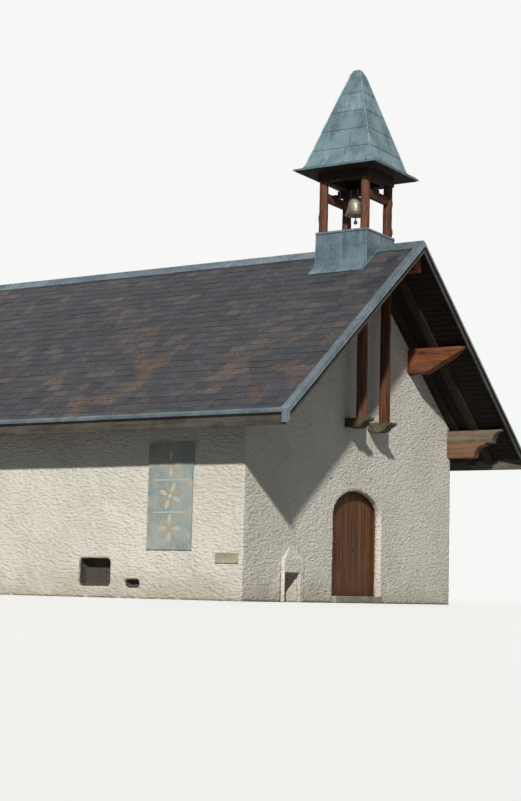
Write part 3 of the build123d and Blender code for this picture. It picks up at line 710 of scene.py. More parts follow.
def trowel_tree():
    """Uneven trowelled surface: broad hollows, flat ripples and small lumps, all worked inwards."""
    inputs = (GEOMETRY, ("Hollow Depth", "Float", 0.012), ("Ripple Depth", "Float", 0.016),
              ("Ripple Density", "Float", 6.5), ("Lump Depth", "Float", 0.007))
    tree, start = new_group("trowelled_surface", "GeometryNodeTree", inputs, (GEOMETRY,))
    place = put(tree, "GeometryNodeInputPosition").outputs[0]
    normal = put(tree, "GeometryNodeInputNormal").outputs[0]
    flat = vector_maths(tree, "MULTIPLY", place, (1.0, 1.0, 2.2))
    ripple = fractal(tree, flat, start["Ripple Density"], 2.0, 0.5, 0.3)
    depth = product(tree, fractal(tree, place, 0.85, 2.0, 0.5), start["Hollow Depth"])
    depth = maths(tree, "ADD", depth, product(tree, ripple, start["Ripple Depth"]))
    lump = product(tree, fractal(tree, place, 17.0, 2.0, 0.5), start["Lump Depth"])
    depth = maths(tree, "SUBTRACT", 0.012, maths(tree, "ADD", depth, lump))
    feeds = {"Geometry": start[0], "Offset": vector_maths(tree, "SCALE", normal, depth)}
    return deliver(tree, put(tree, "GeometryNodeSetPosition", feeds).outputs[0])


def named(tree, name, kind):
    """Attribute of the points by name."""
    return put(tree, "GeometryNodeInputNamedAttribute", {"Name": name}, data_type=kind).outputs[0]


def realized(tree, instances, material):
    """Ends a tree: its instances are made real and given their material."""
    real = put(tree, "GeometryNodeRealizeInstances", {0: instances.outputs[0]}).outputs[0]
    done = put(tree, "GeometryNodeSetMaterial", {"Geometry": real, "Material": material})
    return deliver(tree, done.outputs[0])


def laid_tree(name, kinds):
    """Sets one of several shapes on every point, sized and turned by the point's attributes."""
    labels = [f"Shape {kind + 1}" for kind in range(kinds)]
    inputs = (GEOMETRY, *((label, "Object") for label in labels), ("Size", "Float", 1.0),
              ("Material", "Material"))
    tree, start = new_group(name, "GeometryNodeTree", inputs, (GEOMETRY,))
    shapes = put(tree, "GeometryNodeGeometryToInstance")
    for label in reversed(labels):
        info = put(tree, "GeometryNodeObjectInfo", {"Object": start[label]})
        tree.links.new(info.outputs["Geometry"], shapes.inputs[0])
    size = vector_maths(tree, "SCALE", named(tree, "size", "FLOAT_VECTOR"), start["Size"])
    turn = put(tree, "FunctionNodeEulerToRotation", {0: named(tree, "turn", "FLOAT_VECTOR")}).outputs[0]
    feeds = {"Points": start[0], "Instance": shapes.outputs[0], "Pick Instance": True,
             "Instance Index": named(tree, "kind", "INT"), "Rotation": turn, "Scale": size}
    return realized(tree, put(tree, "GeometryNodeInstanceOnPoints", feeds), start["Material"])


def drawn(tree, seed, reach=None):
    """Random number for each instance, from nought to one or a reach to either side of nought."""
    feeds = {"Seed": seed}
    if reach:
        feeds.update({2: product(tree, reach, -1.0), 3: reach})
    return put(tree, "FunctionNodeRandomValue", feeds, data_type="FLOAT").outputs[1]


def row_tree():
    """Row of like boards side by side, each with its own tone and a small step."""
    inputs = (GEOMETRY, ("Board", "Object"), ("Count", "Int", 10), ("Start", "Vector"), ("Pitch", "Vector"),
              ("Turn", "Vector"), ("Step", "Float", 0.0015), ("Slide", "Float", 0.004), ("Seed", "Int", 1),
              ("Material", "Material"))
    tree, start = new_group("board_row", "GeometryNodeTree", inputs, (GEOMETRY,))
    feeds = {"Count": start["Count"], "Start Location": start["Start"], "Offset": start["Pitch"]}
    line = put(tree, "GeometryNodeMeshLine", feeds)
    info = put(tree, "GeometryNodeObjectInfo", {"Object": start["Board"]})
    turn = put(tree, "FunctionNodeEulerToRotation", {0: start["Turn"]}).outputs[0]
    feeds = {"Points": line.outputs[0], "Instance": info.outputs["Geometry"], "Rotation": turn}
    laid = put(tree, "GeometryNodeInstanceOnPoints", feeds)
    seed = maths(tree, "ADD", start["Seed"], 7.0)
    lift, slide = drawn(tree, start["Seed"], start["Step"]), drawn(tree, seed, start["Slide"])
    feeds = {"Instances": laid.outputs[0], "Local Space": True,
             "Translation": put(tree, "ShaderNodeCombineXYZ", {"X": slide, "Z": lift}).outputs[0]}
    moved = put(tree, "GeometryNodeTranslateInstances", feeds)
    tone = drawn(tree, maths(tree, "ADD", seed, 5.0))
    noted = put(tree, "GeometryNodeStoreNamedAttribute",
                {"Geometry": moved.outputs[0], "Name": "tone", "Value": tone}, data_type="FLOAT",
                domain="INSTANCE")
    return realized(tree, noted, start["Material"])


def slope_turn(side, tilt=0.0, twist=0.0):
    """Turn of a piece whose X lies along the ridge, Y up the slope and Z square to it."""
    up = Vector((-side * math.cos(PITCH), 0.0, math.sin(PITCH)))
    out = Vector((side * math.sin(PITCH), 0.0, math.cos(PITCH)))
    across = up.cross(out)
    basis = Matrix((across, up, out)).transposed()
    return (basis @ Matrix.Rotation(twist, 3, "Z") @ Matrix.Rotation(tilt, 3, "X")).to_euler()


# ---------------------------------------------------------------- masonry

def smooth_share(value):
    """Share from 0 to 1 with soft ends."""
    value = min(1.0, max(0.0, value))
    return value * value * (3.0 - 2.0 * value)


def rendered_piece(name, nodes, voxel, stubs=(), depth=1.0):
    """Masonry with soft, uneven trowelled faces. Its stubs tuck under the neighbouring walls."""
    walls = settings("walls")
    whole = bmesh.new()
    for node in nodes:
        merge(whole, cad_mesh(node, joined=False))
    for low, high in stubs:
        add_box(whole, low, high)
    obj = remeshed(name, whole, voxel)
    use_tree(obj, node_group("trowelled_surface"),
             {"Hollow Depth": walls.hollow_depth * depth, "Ripple Depth": walls.ripple_depth * depth,
              "Ripple Density": walls.ripple_density, "Lump Depth": walls.lump_depth * depth})
    for vertex in obj.data.vertices:
        if vertex.co.z < voxel * 0.7:
            vertex.co.z = 0.0
    return fit(obj, "lime_render", "render_white", *nodes)


def tuck(obj, seam, ahead, depth=0.014, length=0.3):
    """Draws a wall's stubs in beyond a seam, so that the long wall's own face covers them."""
    for vertex in obj.data.vertices:
        beyond = (vertex.co.y - seam) * ahead
        if beyond > 0.0:
            vertex.co.x -= math.copysign(depth * smooth_share(beyond / length), vertex.co.x)


def stub_pair(y0, y1):
    """Short lengths of both side walls between two places along the building."""
    inner = WALL_X - (REAR_Y - SEAM_REAR)
    return [((-WALL_X, y0, 0.0), (-inner, y1, WALL_TOP)), ((inner, y0, 0.0), (WALL_X, y1, WALL_TOP))]


# ---------------------------------------------------------------- roof

def slate_shape(name, length, thickness, seed):
    """One riven slate of unit width: chipped tail, its back face on the bed."""
    chance = random.Random(seed)
    bm = bmesh.new()
    tail = [(-0.5, 0.012 + chance.uniform(0, 0.01)), (-0.47, chance.uniform(0, 0.006))]
    tail += [(-0.2 + chance.uniform(-0.08, 0.08), chance.uniform(-0.004, 0.004)),
             (0.18 + chance.uniform(-0.08, 0.08), chance.uniform(-0.004, 0.004))]
    tail += [(0.46, chance.uniform(0, 0.006)), (0.5, 0.010 + chance.uniform(0, 0.014))]
    outline = tail + [(0.5, length), (-0.5, length)]
    lower = [bm.verts.new((x, y, 0.0)) for x, y in outline]
    edge = [bm.verts.new((x, y, thickness * 0.6)) for x, y in outline]
    inset = [(x * 0.975, y + (0.006 if y < length / 2 else 0.0)) for x, y in outline]
    upper = [bm.verts.new((x, y, thickness + chance.uniform(-0.0012, 0.0012))) for x, y in inset]
    skin(bm, [lower, edge, upper])
    bmesh.ops.recalc_face_normals(bm, faces=bm.faces)
    return new_object(name, to_mesh(bm, name))


def point_mesh(places, **values):
    """Mesh of bare points with their attributes."""
    mesh = bpy.data.meshes.new("points")
    mesh.from_pydata(places, [], [])
    for name, items in values.items():
        kind = {float: "FLOAT", int: "INT"}.get(type(items[0]), "FLOAT_VECTOR")
        data = mesh.attributes.new(name, kind, "POINT").data
        for item, value in zip(data, items):
            setattr(item, "vector" if kind == "FLOAT_VECTOR" else "value", value)
    return mesh


def slate_points(side, roof, seed):
    """Mesh of one point for every slate of a slope, with its size, turn, tone and kind."""
    chance = random.Random(seed)
    slope_length = ROOF_HALF / math.cos(PITCH)
    courses = int((slope_length - 0.05) / roof.slate_exposure)
    exposure = (slope_length - 0.05) / courses
    length = exposure * 2.1
    tilt = -math.atan(2.0 * roof.slate_thickness / length)
    front, rear = ROOF_FRONT + 0.012, ROOF_REAR - 0.012
    places, sizes, turns, tones, kinds = [], [], [], [], []
    for course in range(courses):
        up = course * exposure
        y = front - chance.uniform(0.0, 0.8) * roof.slate_width
        while y < rear - 0.02:
            width = roof.slate_width * chance.uniform(0.72, 1.28)
            low, high = max(y, front), min(y + width, rear)
            y += width
            if high - low < 0.05:
                continue
            shift = chance.uniform(-0.006, 0.006)
            run = ROOF_HALF - (up + shift) * math.cos(PITCH)
            x, z = roof_point(side, run, -roof.slate_bed + 2.0 * roof.slate_thickness)
            reach = min(1.0, (slope_length - up - 0.014) / length)
            places.append((x, (low + high) / 2, z))
            sizes.append((high - low - 0.003, reach, chance.uniform(0.8, 1.3)))
            turns.append(slope_turn(side, tilt + chance.gauss(0, 0.006), chance.gauss(0, 0.007)))
            tones.append(chance.random())
            kinds.append(chance.randrange(3))
    return point_mesh(places, size=sizes, turn=turns, tone=tones, kind=kinds), length


def drop_shapes(shapes):
    """Removes the pattern objects that a tree has copied."""
    for shape in shapes:
        mesh = shape.data
        bpy.data.objects.remove(shape)
        bpy.data.meshes.remove(mesh)


def slate_slope(side, name, node):
    """All the slates of one slope on a thin bed."""
    roof = settings("roof")
    mesh, length = slate_points(side, roof, 31 if side < 0 else 32)
    shapes = [slate_shape(f"pattern_slate_{i}", length, roof.slate_thickness, 50 + i) for i in range(3)]
    obj = new_object(name, mesh)
    values = {f"Shape {i + 1}": shape for i, shape in enumerate(shapes)}
    use_tree(obj, node_group("laid_slates"), {"Material": finish("slate"), **values})
    drop_shapes(shapes)
    bed = bmesh.new()
    bed.from_mesh(obj.data)
    upper, lower = (roof_point(side, ROOF_HALF, step - roof.slate_bed) for step in (0.002, -0.006))
    crest = [(0.0, roof_point(side, 0.0, step - roof.slate_bed)[1]) for step in (0.002, -0.006)]
    add_run(bed, (crest[0], upper, lower, crest[1]), [ROOF_FRONT + 0.004, ROOF_REAR - 0.004],
            lambda y, a, b: (a, y, b))
    bmesh.ops.recalc_face_normals(bed, faces=bed.faces)
    bed.to_mesh(obj.data)
    bed.free()
    return fit(obj, "slate", "slate", node)


def add_run(bm, outline, stations, place, tone=0.5):
    """Closed bar whose outline is set at every station along a path."""
    skin(bm, [ring(bm, [place(station, a, b) for a, b in outline], tone) for station in stations])


def lapped(start, end, length, lap=0.035):
    """Lengths that follow each other with a lap, as (from, to) pairs."""
    count = max(1, round(abs(end - start) / length))
    cuts = spread(start, end, count)
    ahead = math.copysign(lap, end - start)
    return [(a, b + (ahead if i < count - 1 else 0.0)) for i, (a, b) in enumerate(zip(cuts, cuts[1:]))]


def dented(point, depth=0.0015):
    """Point moved a little, as in sheet that has been walked on and knocked."""
    return Vector(point) + noise.noise_vector(Vector(point) * 4.1) * depth


def add_lapped(bm, outline, start, end, length, place, seed):
    """Folded sheet in lapped lengths, every second one a sheet's thickness proud."""
    chance = random.Random(seed)
    for i, (a, b) in enumerate(lapped(start, end, length)):
        proud = 0.0016 * (i % 2) + chance.uniform(0.0, 0.0006)
        moved = [(p + math.copysign(proud, p), q + proud) for p, q in outline]
        steps = max(2, int(abs(b - a) / 0.14))
        add_run(bm, moved, spread(a, b, steps), place, chance.random())


def sloped(side, run, y, rise, dents=0.0015):
    """Dented point over one slope, by its level distance from the ridge and its height."""
    return dented((side * run, y, RIDGE_Z - run * SLOPE + rise), dents)


def verge_line(side, outward):
    """Places along a verge: level distance from the ridge, distance outward, and height."""
    edge = ROOF_FRONT if outward < 0 else ROOF_REAR
    return lambda run, out, rise: sloped(side, run, edge + outward * out, rise)


def eave_line(side):
    """Places along an eave: place on the building, distance outward, and height."""
    return lambda y, out, rise: dented((side * (ROOF_HALF + out), y, EAVE_Z + rise))


def verge_strips():
    """Folded strips on the verges of both gables, with their corner pieces."""
    bm = bmesh.new()
    fold = ((0.020, -0.074), (0.021, -0.066), (0.009, -0.052), (0.008, 0.008), (0.004, 0.016),
            (-0.008, 0.018), (-0.015, 0.010), (-0.116, 0.0075), (-0.119, 0.014), (-0.124, 0.014),
            (-0.126, 0.001), (-0.118, -0.004), (-0.010, 0.002), (0.001, -0.006), (0.003, -0.056),
            (0.014, -0.073))
    corner = ((0.017, -0.202), (0.017, 0.012), (0.004, 0.023), (-0.126, 0.021), (-0.126, 0.012),
              (0.008, 0.012), (0.008, -0.202))
    end = ROOF_HALF + 0.006
    for outward, seed in ((-1, 1), (1, 3)):
        for side in (-1, 1):
            place = verge_line(side, outward)
            add_lapped(bm, fold, 0.0, end, settings("roof").sheet_length, place, seed + side)
            add_run(bm, corner, spread(end - 0.070, end + 0.006, 3), place, 0.8)
    made("verge_strips", bm, 30, "edge_sheet", "zinc", "verge_metal")


def eave_strips():
    """Folded strips on both eaves, with their corner pieces."""
    bm = bmesh.new()
    flange = 0.04
    fold = ((-flange, flange * SLOPE), (-flange, flange * SLOPE + 0.007), (-0.004, 0.012), (0.008, 0.004),
            (0.010, -0.034), (0.018, -0.041), (0.013, -0.045), (0.004, -0.037), (0.002, -0.006),
            (-0.012, 0.003))
    corner = ((0.008, -0.202), (0.017, -0.202), (0.018, 0.005), (-0.012, 0.022), (-0.014, 0.012),
              (0.008, 0.000))
    for side in (-1, 1):
        place = eave_line(side)
        add_lapped(bm, fold, ROOF_FRONT + 0.075, ROOF_REAR - 0.075, settings("roof").sheet_length, place,
                   11 + side)
        for ends in ((ROOF_FRONT - 0.010, ROOF_FRONT + 0.088), (ROOF_REAR - 0.088, ROOF_REAR + 0.010)):
            add_run(bm, corner, ends, place, 0.75)
    made("eave_strips", bm, 30, "eave_sheet", "zinc", "eave_metal")


def edge_battens():
    """Dark battens in the gap under the eave and verge strips, standing for the shadow that the strips' lips
    cast: painted shadow.
    """
    bm = bmesh.new()
    for side in (-1, 1):
        batten = ((0.0015, -0.082), (0.0065, -0.082), (0.0065, -0.030), (0.0015, -0.030))
        add_run(bm, batten, spread(ROOF_FRONT + 0.08, ROOF_REAR - 0.08, 24), eave_line(side), 0.4)
        batten = ((0.0005, -0.132), (0.0045, -0.132), (0.0045, -0.050), (0.0005, -0.050))
        for outward in (-1, 1):
            add_run(bm, batten, spread(0.0, ROOF_HALF - 0.064, 14), verge_line(side, outward), 0.4)
    made("edge_battens", bm, 35, "soffit_timber", "dark_wood")


def ridge_sheet():
    """Folded ridge cap before the turret and behind it."""
    bm = bmesh.new()
    wing = 0.172
    half = [(wing - 0.004, -0.003), (wing, 0.006), (wing - 0.010, 0.013), (0.034, 0.012), (0.024, 0.016),
            (0.017, 0.030)]
    outline = [(-x, -x * SLOPE + h) for x, h in half] + [(0.0, 0.036)]
    outline += [(x, -x * SLOPE + h) for x, h in reversed(half)] + [(0.0, 0.0)]
    low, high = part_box("turret_base")
    for start, stop, seed in ((ROOF_FRONT + 0.02, low.y + 0.01, 21), (ROOF_REAR - 0.02, high.y - 0.01, 22)):
        add_lapped(bm, outline, start, stop, settings("roof").sheet_length * 0.6,
                   lambda y, out, rise: dented((out, y, RIDGE_Z + rise)), seed)
    made("ridge_sheet", bm, 30, "edge_sheet", "zinc", "ridge_cap")


def board_shape(length, width, thickness, seed):
    """Sawn board along X with soft arrises, its middle at the origin."""
    half = Vector((length, width, thickness)) / 2
    bm = hewn(box_mesh(-half, half), "x", 0.003, 0.45, 0.0012, seed)
    return new_object("pattern_board", to_mesh(bm, "pattern_board", 35))


def board_row(name, node, material, board, **values):
    """Row of boards that stands for a CAD node."""
    obj = new_object(name, bpy.data.meshes.new(name))
    use_tree(obj, node_group("board_row"), {"Board": board, "Material": finish(material), **values})
    drop_shapes([board])
    return fit(obj, material, "dark_wood", node)


def roof_boards(side, name, node):
    """Boards along the ridge on top of the rafters, with open joints."""
    roof = settings("roof")
    slope_length = abs(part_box("roof_boards_left")[0].x) / math.cos(PITCH)
    count = int(slope_length / roof.board_pitch)
    pitch = slope_length / count
    low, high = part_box(node)
    thickness = BOARD_THICKNESS * math.cos(PITCH)
    lift = -COVERING_THICKNESS * math.cos(PITCH) - thickness / 2
    board = board_shape(high.y - low.y, pitch - roof.board_gap, thickness, 7)
    x, z = roof_point(side, pitch / 2 * math.cos(PITCH), lift)
    board_row(name, node, "soffit_timber", board, Count=count, Start=(x, (low.y + high.y) / 2, z),
              Pitch=(side * pitch * math.cos(PITCH), 0.0, -pitch * math.sin(PITCH)),
              Turn=tuple(slope_turn(side)), Seed=4 + side, Slide=0.0)


# ---------------------------------------------------------------- timbers

def hewn_boxes(name, boxes, material, slot, *stands_for, body="chapel", bevel=0.008, step=0.25,
               wander=0.003, seed=1):
    """Several hewn timbers, given as (low, high, run), in one piece."""
    whole = bmesh.new()
    for i, (low, high, run) in enumerate(boxes):
        merge(whole, hewn(box_mesh(low, high), run, bevel, step, wander, seed + 11 * i), 35)
    return made(name, whole, None, material, slot, *stands_for, body=body)


def add_log(bm, x, y, foot, head, foot_radius, head_radius, seed):
    """Rough round post: a little crooked, fluted and knotted, and cut square inside the turret's base."""
    chance = random.Random(seed)
    grain, tone = layer(bm, "grain", "float_vector"), layer(bm, "tone")
    shade = chance.random()
    sides = 28
    square = 0.500
    knots = [(chance.uniform(foot, head), chance.uniform(0, math.tau))
             for _ in range(int((head - foot) * 2.2))]
    rings = []
    for z in spread(foot, head, int((head - foot) / 0.055)):
        radius = foot_radius + (head_radius - foot_radius) * (z - foot) / (head - foot)
        sway = noise.noise_vector(Vector((seed, 3.1, z * 0.9))) * 0.010
        rings.append([])
        for i in range(sides):
            angle = math.tau * i / sides
            across, along = math.cos(angle), math.sin(angle)
            flute = noise.noise(Vector((across * 1.6, along * 1.6, z * 0.8 + seed * 5)))
            lump = noise.noise(Vector((across * 3.0, along * 3.0, z * 5.0 + seed * 9)))
            r = radius * (1.0 + 0.085 * flute + 0.05 * lump)
            for knot_z, knot_angle in knots:
                turn = (angle - knot_angle + math.pi) % math.tau - math.pi
                r += 0.014 * math.exp(-((z - knot_z) / 0.05) ** 2 - (turn / 0.42) ** 2)
            across, along = x + sway.x + r * across, y + sway.y + r * along - TURRET_Y
            if BASE_TOP - 0.9 < z < BASE_TOP + 0.01:
                across, along = (max(-square, min(square, at)) for at in (across, along))
            vertex = bm.verts.new((across, TURRET_Y + along, z))
            vertex[grain] = (z, angle * radius, seed * 2.7)
            vertex[tone] = shade
            rings[-1].append(vertex)
    skin(bm, rings)


def turret_posts():
    """Four rough posts: the front pair stands on the corbels, the rear pair on the bearer."""
    low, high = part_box("turret_posts")
    rear_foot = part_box("turret_bearer")[1].z
    bm = bmesh.new()
    for side in (-1, 1):
        x = side * (high.x - 0.1)
        add_log(bm, x, low.y + 0.1, low.z, high.z, 0.099, 0.080, 3 + side)
        add_log(bm, x, high.y - 0.086, rear_foot, high.z, 0.088, 0.080, 7 + side)
    made("rough_posts", bm, 60, "post_timber", "post_wood", "turret_posts")


def turret_timbers():
    """Rails with the bell's bearing blocks, head beams, soffit boards and bearer."""
    low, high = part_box("turret_rails")
    boxes = []
    for y in (low.y + 0.045, high.y - 0.045):
        boxes.append(((low.x, y - 0.045, low.z), (high.x, y + 0.045, RAIL_TOP), "x"))
        boxes.append(((-0.034, y - 0.036, RAIL_TOP - 0.01), (0.034, y + 0.036, high.z), "z"))
    hewn_boxes("bell_rails", boxes, "post_timber", "post_wood", "turret_rails", wander=0.004)

    low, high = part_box("turret_head")
    width = 0.17
    boxes = [((low.x, low.y, low.z), (high.x, low.y + width, high.z), "x"),
             ((low.x, high.y - width, low.z), (high.x, high.y, high.z), "x"),
             ((low.x, low.y + width, low.z), (low.x + width, high.y - width, high.z), "y"),
             ((high.x - width, low.y + width, low.z), (high.x, high.y - width, high.z), "y")]
    hewn_boxes("head_beams", boxes, "dark_timber", "dark_wood", "turret_head", seed=5)

    low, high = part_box("turret_soffit")
    count = 13
    pitch = (high.x - low.x) / count
    board = board_shape(high.y - low.y, pitch - 0.007, high.z - low.z, 9)
    board_row("turret_soffit_boards", "turret_soffit", "dark_timber", board, Count=count,
              Start=(low.x + pitch / 2, (low.y + high.y) / 2, (low.z + high.z) / 2),
              Pitch=(pitch, 0.0, 0.0), Turn=(0.0, 0.0, math.pi / 2), Seed=14)
    timber("post_bearer", "turret_bearer", "x", "dark_timber", "dark_wood", seed=8)


# ---------------------------------------------------------------- turret sheet work

def taper_half(z):
    """Half width of the turret base at a height."""
    foot = RIDGE_Z - BASE_HALF * SLOPE
    return BASE_HALF - 0.005 * (z - foot) / (BASE_TOP - foot)


def turret_base():
    """Sheet-clad box on the ridge: plain panels, folded corners and seams, a cap and two aprons."""
    bm = bmesh.new()
    foot = RIDGE_Z - BASE_HALF * SLOPE - 0.06
    levels = [(taper_half(z) - 0.001, z) for z in spread(foot, BASE_TOP - 0.004, 9)]
    add_square_shell(bm, levels, 0.45, 0.007, 10, 3.3, 4)
    for a, b in CORNERS:
        add_run(bm, circle(0.011, 8), spread(foot, BASE_TOP, 6),
                lambda z, p, q: dented((a * taper_half(z) + p, TURRET_Y + b * taper_half(z) + q, z)), 0.7)
    seam = ((-0.004, -0.004), (0.004, -0.004), (0.004, 0.009), (-0.004, 0.009))
    for a, b, slide in ((-1, 0, -0.06), (1, 0, 0.08), (0, -1, 0.05), (0, 1, -0.05)):
        def place(z, p, q):
            half = taper_half(z)
            if a:
                return dented((a * (half + q), TURRET_Y + slide + p, z))
            return dented((slide + p, TURRET_Y + b * (half + q), z))
        add_run(bm, seam, spread(foot, BASE_TOP - 0.02, 6), place, 0.3)
    cap = taper_half(BASE_TOP)
    skirt = ((cap + 0.012, -0.040), (cap + 0.016, -0.034), (cap + 0.006, 0.000), (cap - 0.010, 0.006),
             (0.0, 0.006), (0.0, -0.002), (cap - 0.004, -0.006))
    add_cap(bm, skirt, BASE_TOP - 0.004)
    low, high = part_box("turret_base")
    reach = high.x - 0.002
    flare = ((0.495, 0.110), (0.518, 0.128), (0.532, 0.118), (0.560, 0.092), (0.600, 0.064),
             (0.650, 0.038), (reach - 0.01, 0.013), (reach, 0.004), (reach - 0.01, -0.004),
             (0.495, -0.006))
    apron = ((0.0, 0.009), (reach - 0.01, 0.010), (reach, 0.004), (reach - 0.01, -0.004), (0.0, -0.004))
    welt = ((0.0, 0.012), (0.02, 0.016), (0.055, 0.017), (0.058, -0.004), (0.0, -0.004))
    for side in (-1, 1):
        def place(y, run, rise):
            return sloped(side, run, y, rise, 0.004)
        add_run(bm, flare, spread(TURRET_Y - 0.523, TURRET_Y + 0.523, 12), place, 0.8)
        for ends in ((low.y, TURRET_Y - 0.51), (TURRET_Y + 0.51, high.y)):
            add_run(bm, apron, ends, place, 0.6)
        for y, ahead in ((low.y, 1), (high.y, -1)):
            add_run(bm, welt, spread(0.0, high.x - 0.004, 8),
                    lambda run, along, rise: sloped(side, run, y + ahead * along, rise, 0.002), 0.6)
    made("turret_cladding", bm, 32, "base_sheet", "zinc", "turret_base")


def square_path(half, steps):
    """Points round a square about the turret's axis, each with its share along the side."""
    for (a, b), (c, d) in zip(CORNERS, CORNERS[1:] + CORNERS[:1]):
        for share in spread(0.0, 1.0, steps)[:-1]:
            yield half * (a + (c - a) * share), TURRET_Y + half * (b + (d - b) * share), share


def add_cap(bm, outline, z):
    """Square cap: an outline of (half width, rise) carried round the turret's four sides."""
    skin(bm, [ring(bm, [dented((x, y, z + rise), 0.002) for x, y, _ in square_path(half, 4)], 0.6)
              for half, rise in outline], closed=True)


def add_square_shell(bm, levels, tone, dents=0.004, steps=6, grade=4.0, power=3):
    """Closed square shell from (half width, height) levels, its sides gently dented between the corners."""
    rings = []
    for half, z in levels:
        points = []
        for x, y, share in square_path(half, steps):
            point = Vector((x, y, z))
            inner = 1.0 - abs(2.0 * share - 1.0) ** power
            points.append(point + noise.noise_vector(point * grade) * dents * inner)
        rings.append(ring(bm, points, tone))
    skin(bm, rings)


def spire_profile():
    """Half width and height along the spire, from the eave edge to the tip."""
    low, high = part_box("turret_roof")
    half, shoulder, rise = high.x, 0.675, 0.105
    points = [(half, low.z), (half, SPIRE_EAVE)]
    for inward, upward in ((0.3, 0.10), (0.55, 0.22), (0.8, 0.42), (0.93, 0.68), (1.0, 1.0)):
        points.append((half + (shoulder - half) * inward, SPIRE_EAVE + rise * upward))
    return points + [(0.070, high.z - 0.004)]


def spire_half(z):
    """Half width of the spire at a height."""
    points = spire_profile()[1:]
    for (r0, z0), (r1, z1) in zip(points, points[1:]):
        if z <= z1:
            return r0 + (r1 - r0) * max(0.0, z - z0) / (z1 - z0)
    return points[-1][0]


def spire():
    """Bell-cast spire in lapped courses of sheet, with joints, hip rolls and a small cap."""
    turret = settings("turret")
    chance = random.Random(77)
    low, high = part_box("turret_roof")
    bm = bmesh.new()
    bends = [z for _, z in spire_profile()]
    drip = ((high.x - 0.016, low.z - 0.006), (high.x - 0.003, low.z - 0.005), (high.x, low.z + 0.010),
            (high.x - 0.005, SPIRE_EAVE - 0.003), (high.x - 0.03, SPIRE_EAVE + 0.001))
    add_square_shell(bm, drip, 0.35, 0.002)
    tip = high.z - 0.10
    cuts = spread(SPIRE_EAVE, tip, max(3, round((tip - SPIRE_EAVE) / turret.course_height)))
    courses = list(zip(cuts, cuts[1:]))
    for i, (z0, z1) in enumerate(courses):
        start = z0 - (0.014 if i else 0.0)
        lift = 0.009 if i else 0.001
        steps = sorted(spread(start, z1, 6) + [z for z in bends if SPIRE_EAVE < z < z1 and not i])
        levels = [(spire_half(max(z, SPIRE_EAVE)) + lift * (1.0 - (z - start) / (z1 - start)), z)
                  for z in steps]
        levels.insert(0, (levels[0][0] - 0.012, start + 0.001))
        add_square_shell(bm, levels, chance.random())
    joint = ((-0.006, -0.006), (0.006, -0.006), (0.004, 0.006), (-0.004, 0.006))
    for i, (z0, z1) in enumerate(courses):
        joints = max(1, round(2.0 * spire_half(z0) / turret.sheet_width))
        for face in range(4):
            for k in range(joints):
                share = (k + (0.33 if i % 2 else 0.72) + chance.uniform(-0.06, 0.06)) / joints * 2.0 - 1.0
                if abs(share) > 0.9:
                    continue

                def place(z, p, q):
                    half = spire_half(z) + 0.008 * (1.0 - (z - z0) / (z1 - z0))
                    point = Vector((share * half + p, -(half + q), 0.0))
                    point = Matrix.Rotation(face * math.pi / 2, 3, "Z") @ point
                    return point + Vector((0.0, TURRET_Y, z))
                add_run(bm, joint, spread(z0, z1, 4), place, 0.2)
    for a, b in CORNERS:
        def place(z, p, q):
            half = spire_half(z)
            return dented((a * half + p, TURRET_Y + b * half + q, z), 0.003)
        add_run(bm, circle(0.016, 8), spread(SPIRE_EAVE - 0.03, tip + 0.01, 26), place, 0.85)
    cap = ((spire_half(tip) + 0.020, tip - 0.05), (spire_half(tip) + 0.014, tip - 0.01),
           (0.078, high.z - 0.045), (0.066, high.z - 0.012), (0.045, high.z - 0.001))
    add_square_shell(bm, cap, 0.9, 0.0)
    made("spire_sheets", bm, 28, "spire_sheet", "patina_sheet", "turret_roof")


# ---------------------------------------------------------------- bell

def turned(bm, profile, segments, centre):
    """Closed solid turned about an upright axis from (radius, height) points, first and last on the axis."""
    foot, head = (bm.verts.new(centre + Vector((0, 0, profile[end][1]))) for end in (0, -1))
    columns = [[bm.verts.new(centre + Vector((a, b, z))) for a, b in circle(radius, segments)]
               for radius, z in profile[1:-1]]
    skin(bm, columns, ends=False)
    for i in range(segments):
        j = (i + 1) % segments
        bm.faces.new((foot, columns[0][j], columns[0][i]))
        bm.faces.new((head, columns[-1][i], columns[-1][j]))


def bell():
    """Turned bell with its mouldings and crown, and the staple that the clapper hangs from."""
    low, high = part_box("bell")
    radius, top = (high.x - low.x) / 2, high.z - low.z
    outer = ((1.0, 0.000), (1.0, 0.012), (0.985, 0.020), (0.945, 0.062), (0.925, 0.072), (0.93, 0.080),
             (0.905, 0.092), (0.870, 0.170), (0.835, 0.255), (0.790, 0.360), (0.755, 0.470), (0.725, 0.580),
             (0.700, 0.690), (0.710, 0.703), (0.710, 0.720), (0.690, 0.735), (0.665, 0.800), (0.675, 0.812),
             (0.650, 0.850), (0.590, 0.905), (0.48, 0.955), (0.34, 0.990), (0.20, 1.0), (0.0, 1.0))
    inner = ((0.0, 0.945), (0.16, 0.945), (0.32, 0.925), (0.46, 0.885), (0.56, 0.800), (0.605, 0.690),
             (0.665, 0.480), (0.75, 0.255), (0.82, 0.130), (0.89, 0.040), (0.93, 0.000))
    bm = bmesh.new()
    centre = Vector((0.0, TURRET_Y, low.z))
    turned(bm, [(r * radius, z * BELL_HEIGHT) for r, z in inner + outer], 56, centre)
    crown = ((0.0, BELL_HEIGHT - 0.012), (0.036, BELL_HEIGHT - 0.010), (0.040, BELL_HEIGHT + 0.004),
             (0.032, top - 0.001), (0.0, top))
    turned(bm, crown, 20, centre)
    for y in (TURRET_Y - 0.016, TURRET_Y + 0.016):
        add_box(bm, (-0.009, y - 0.004, PIVOT_Z - 0.012), (0.009, y + 0.004, low.z + BELL_HEIGHT - 0.008))
    add_run(bm, circle(0.006, 10), [TURRET_Y - 0.022, TURRET_Y + 0.022], lambda y, p, q: (p, y, PIVOT_Z + q))
    made("turned_bell", bm, 50, "bell_bronze", "bell_bronze", "bell", body="bell_unit")


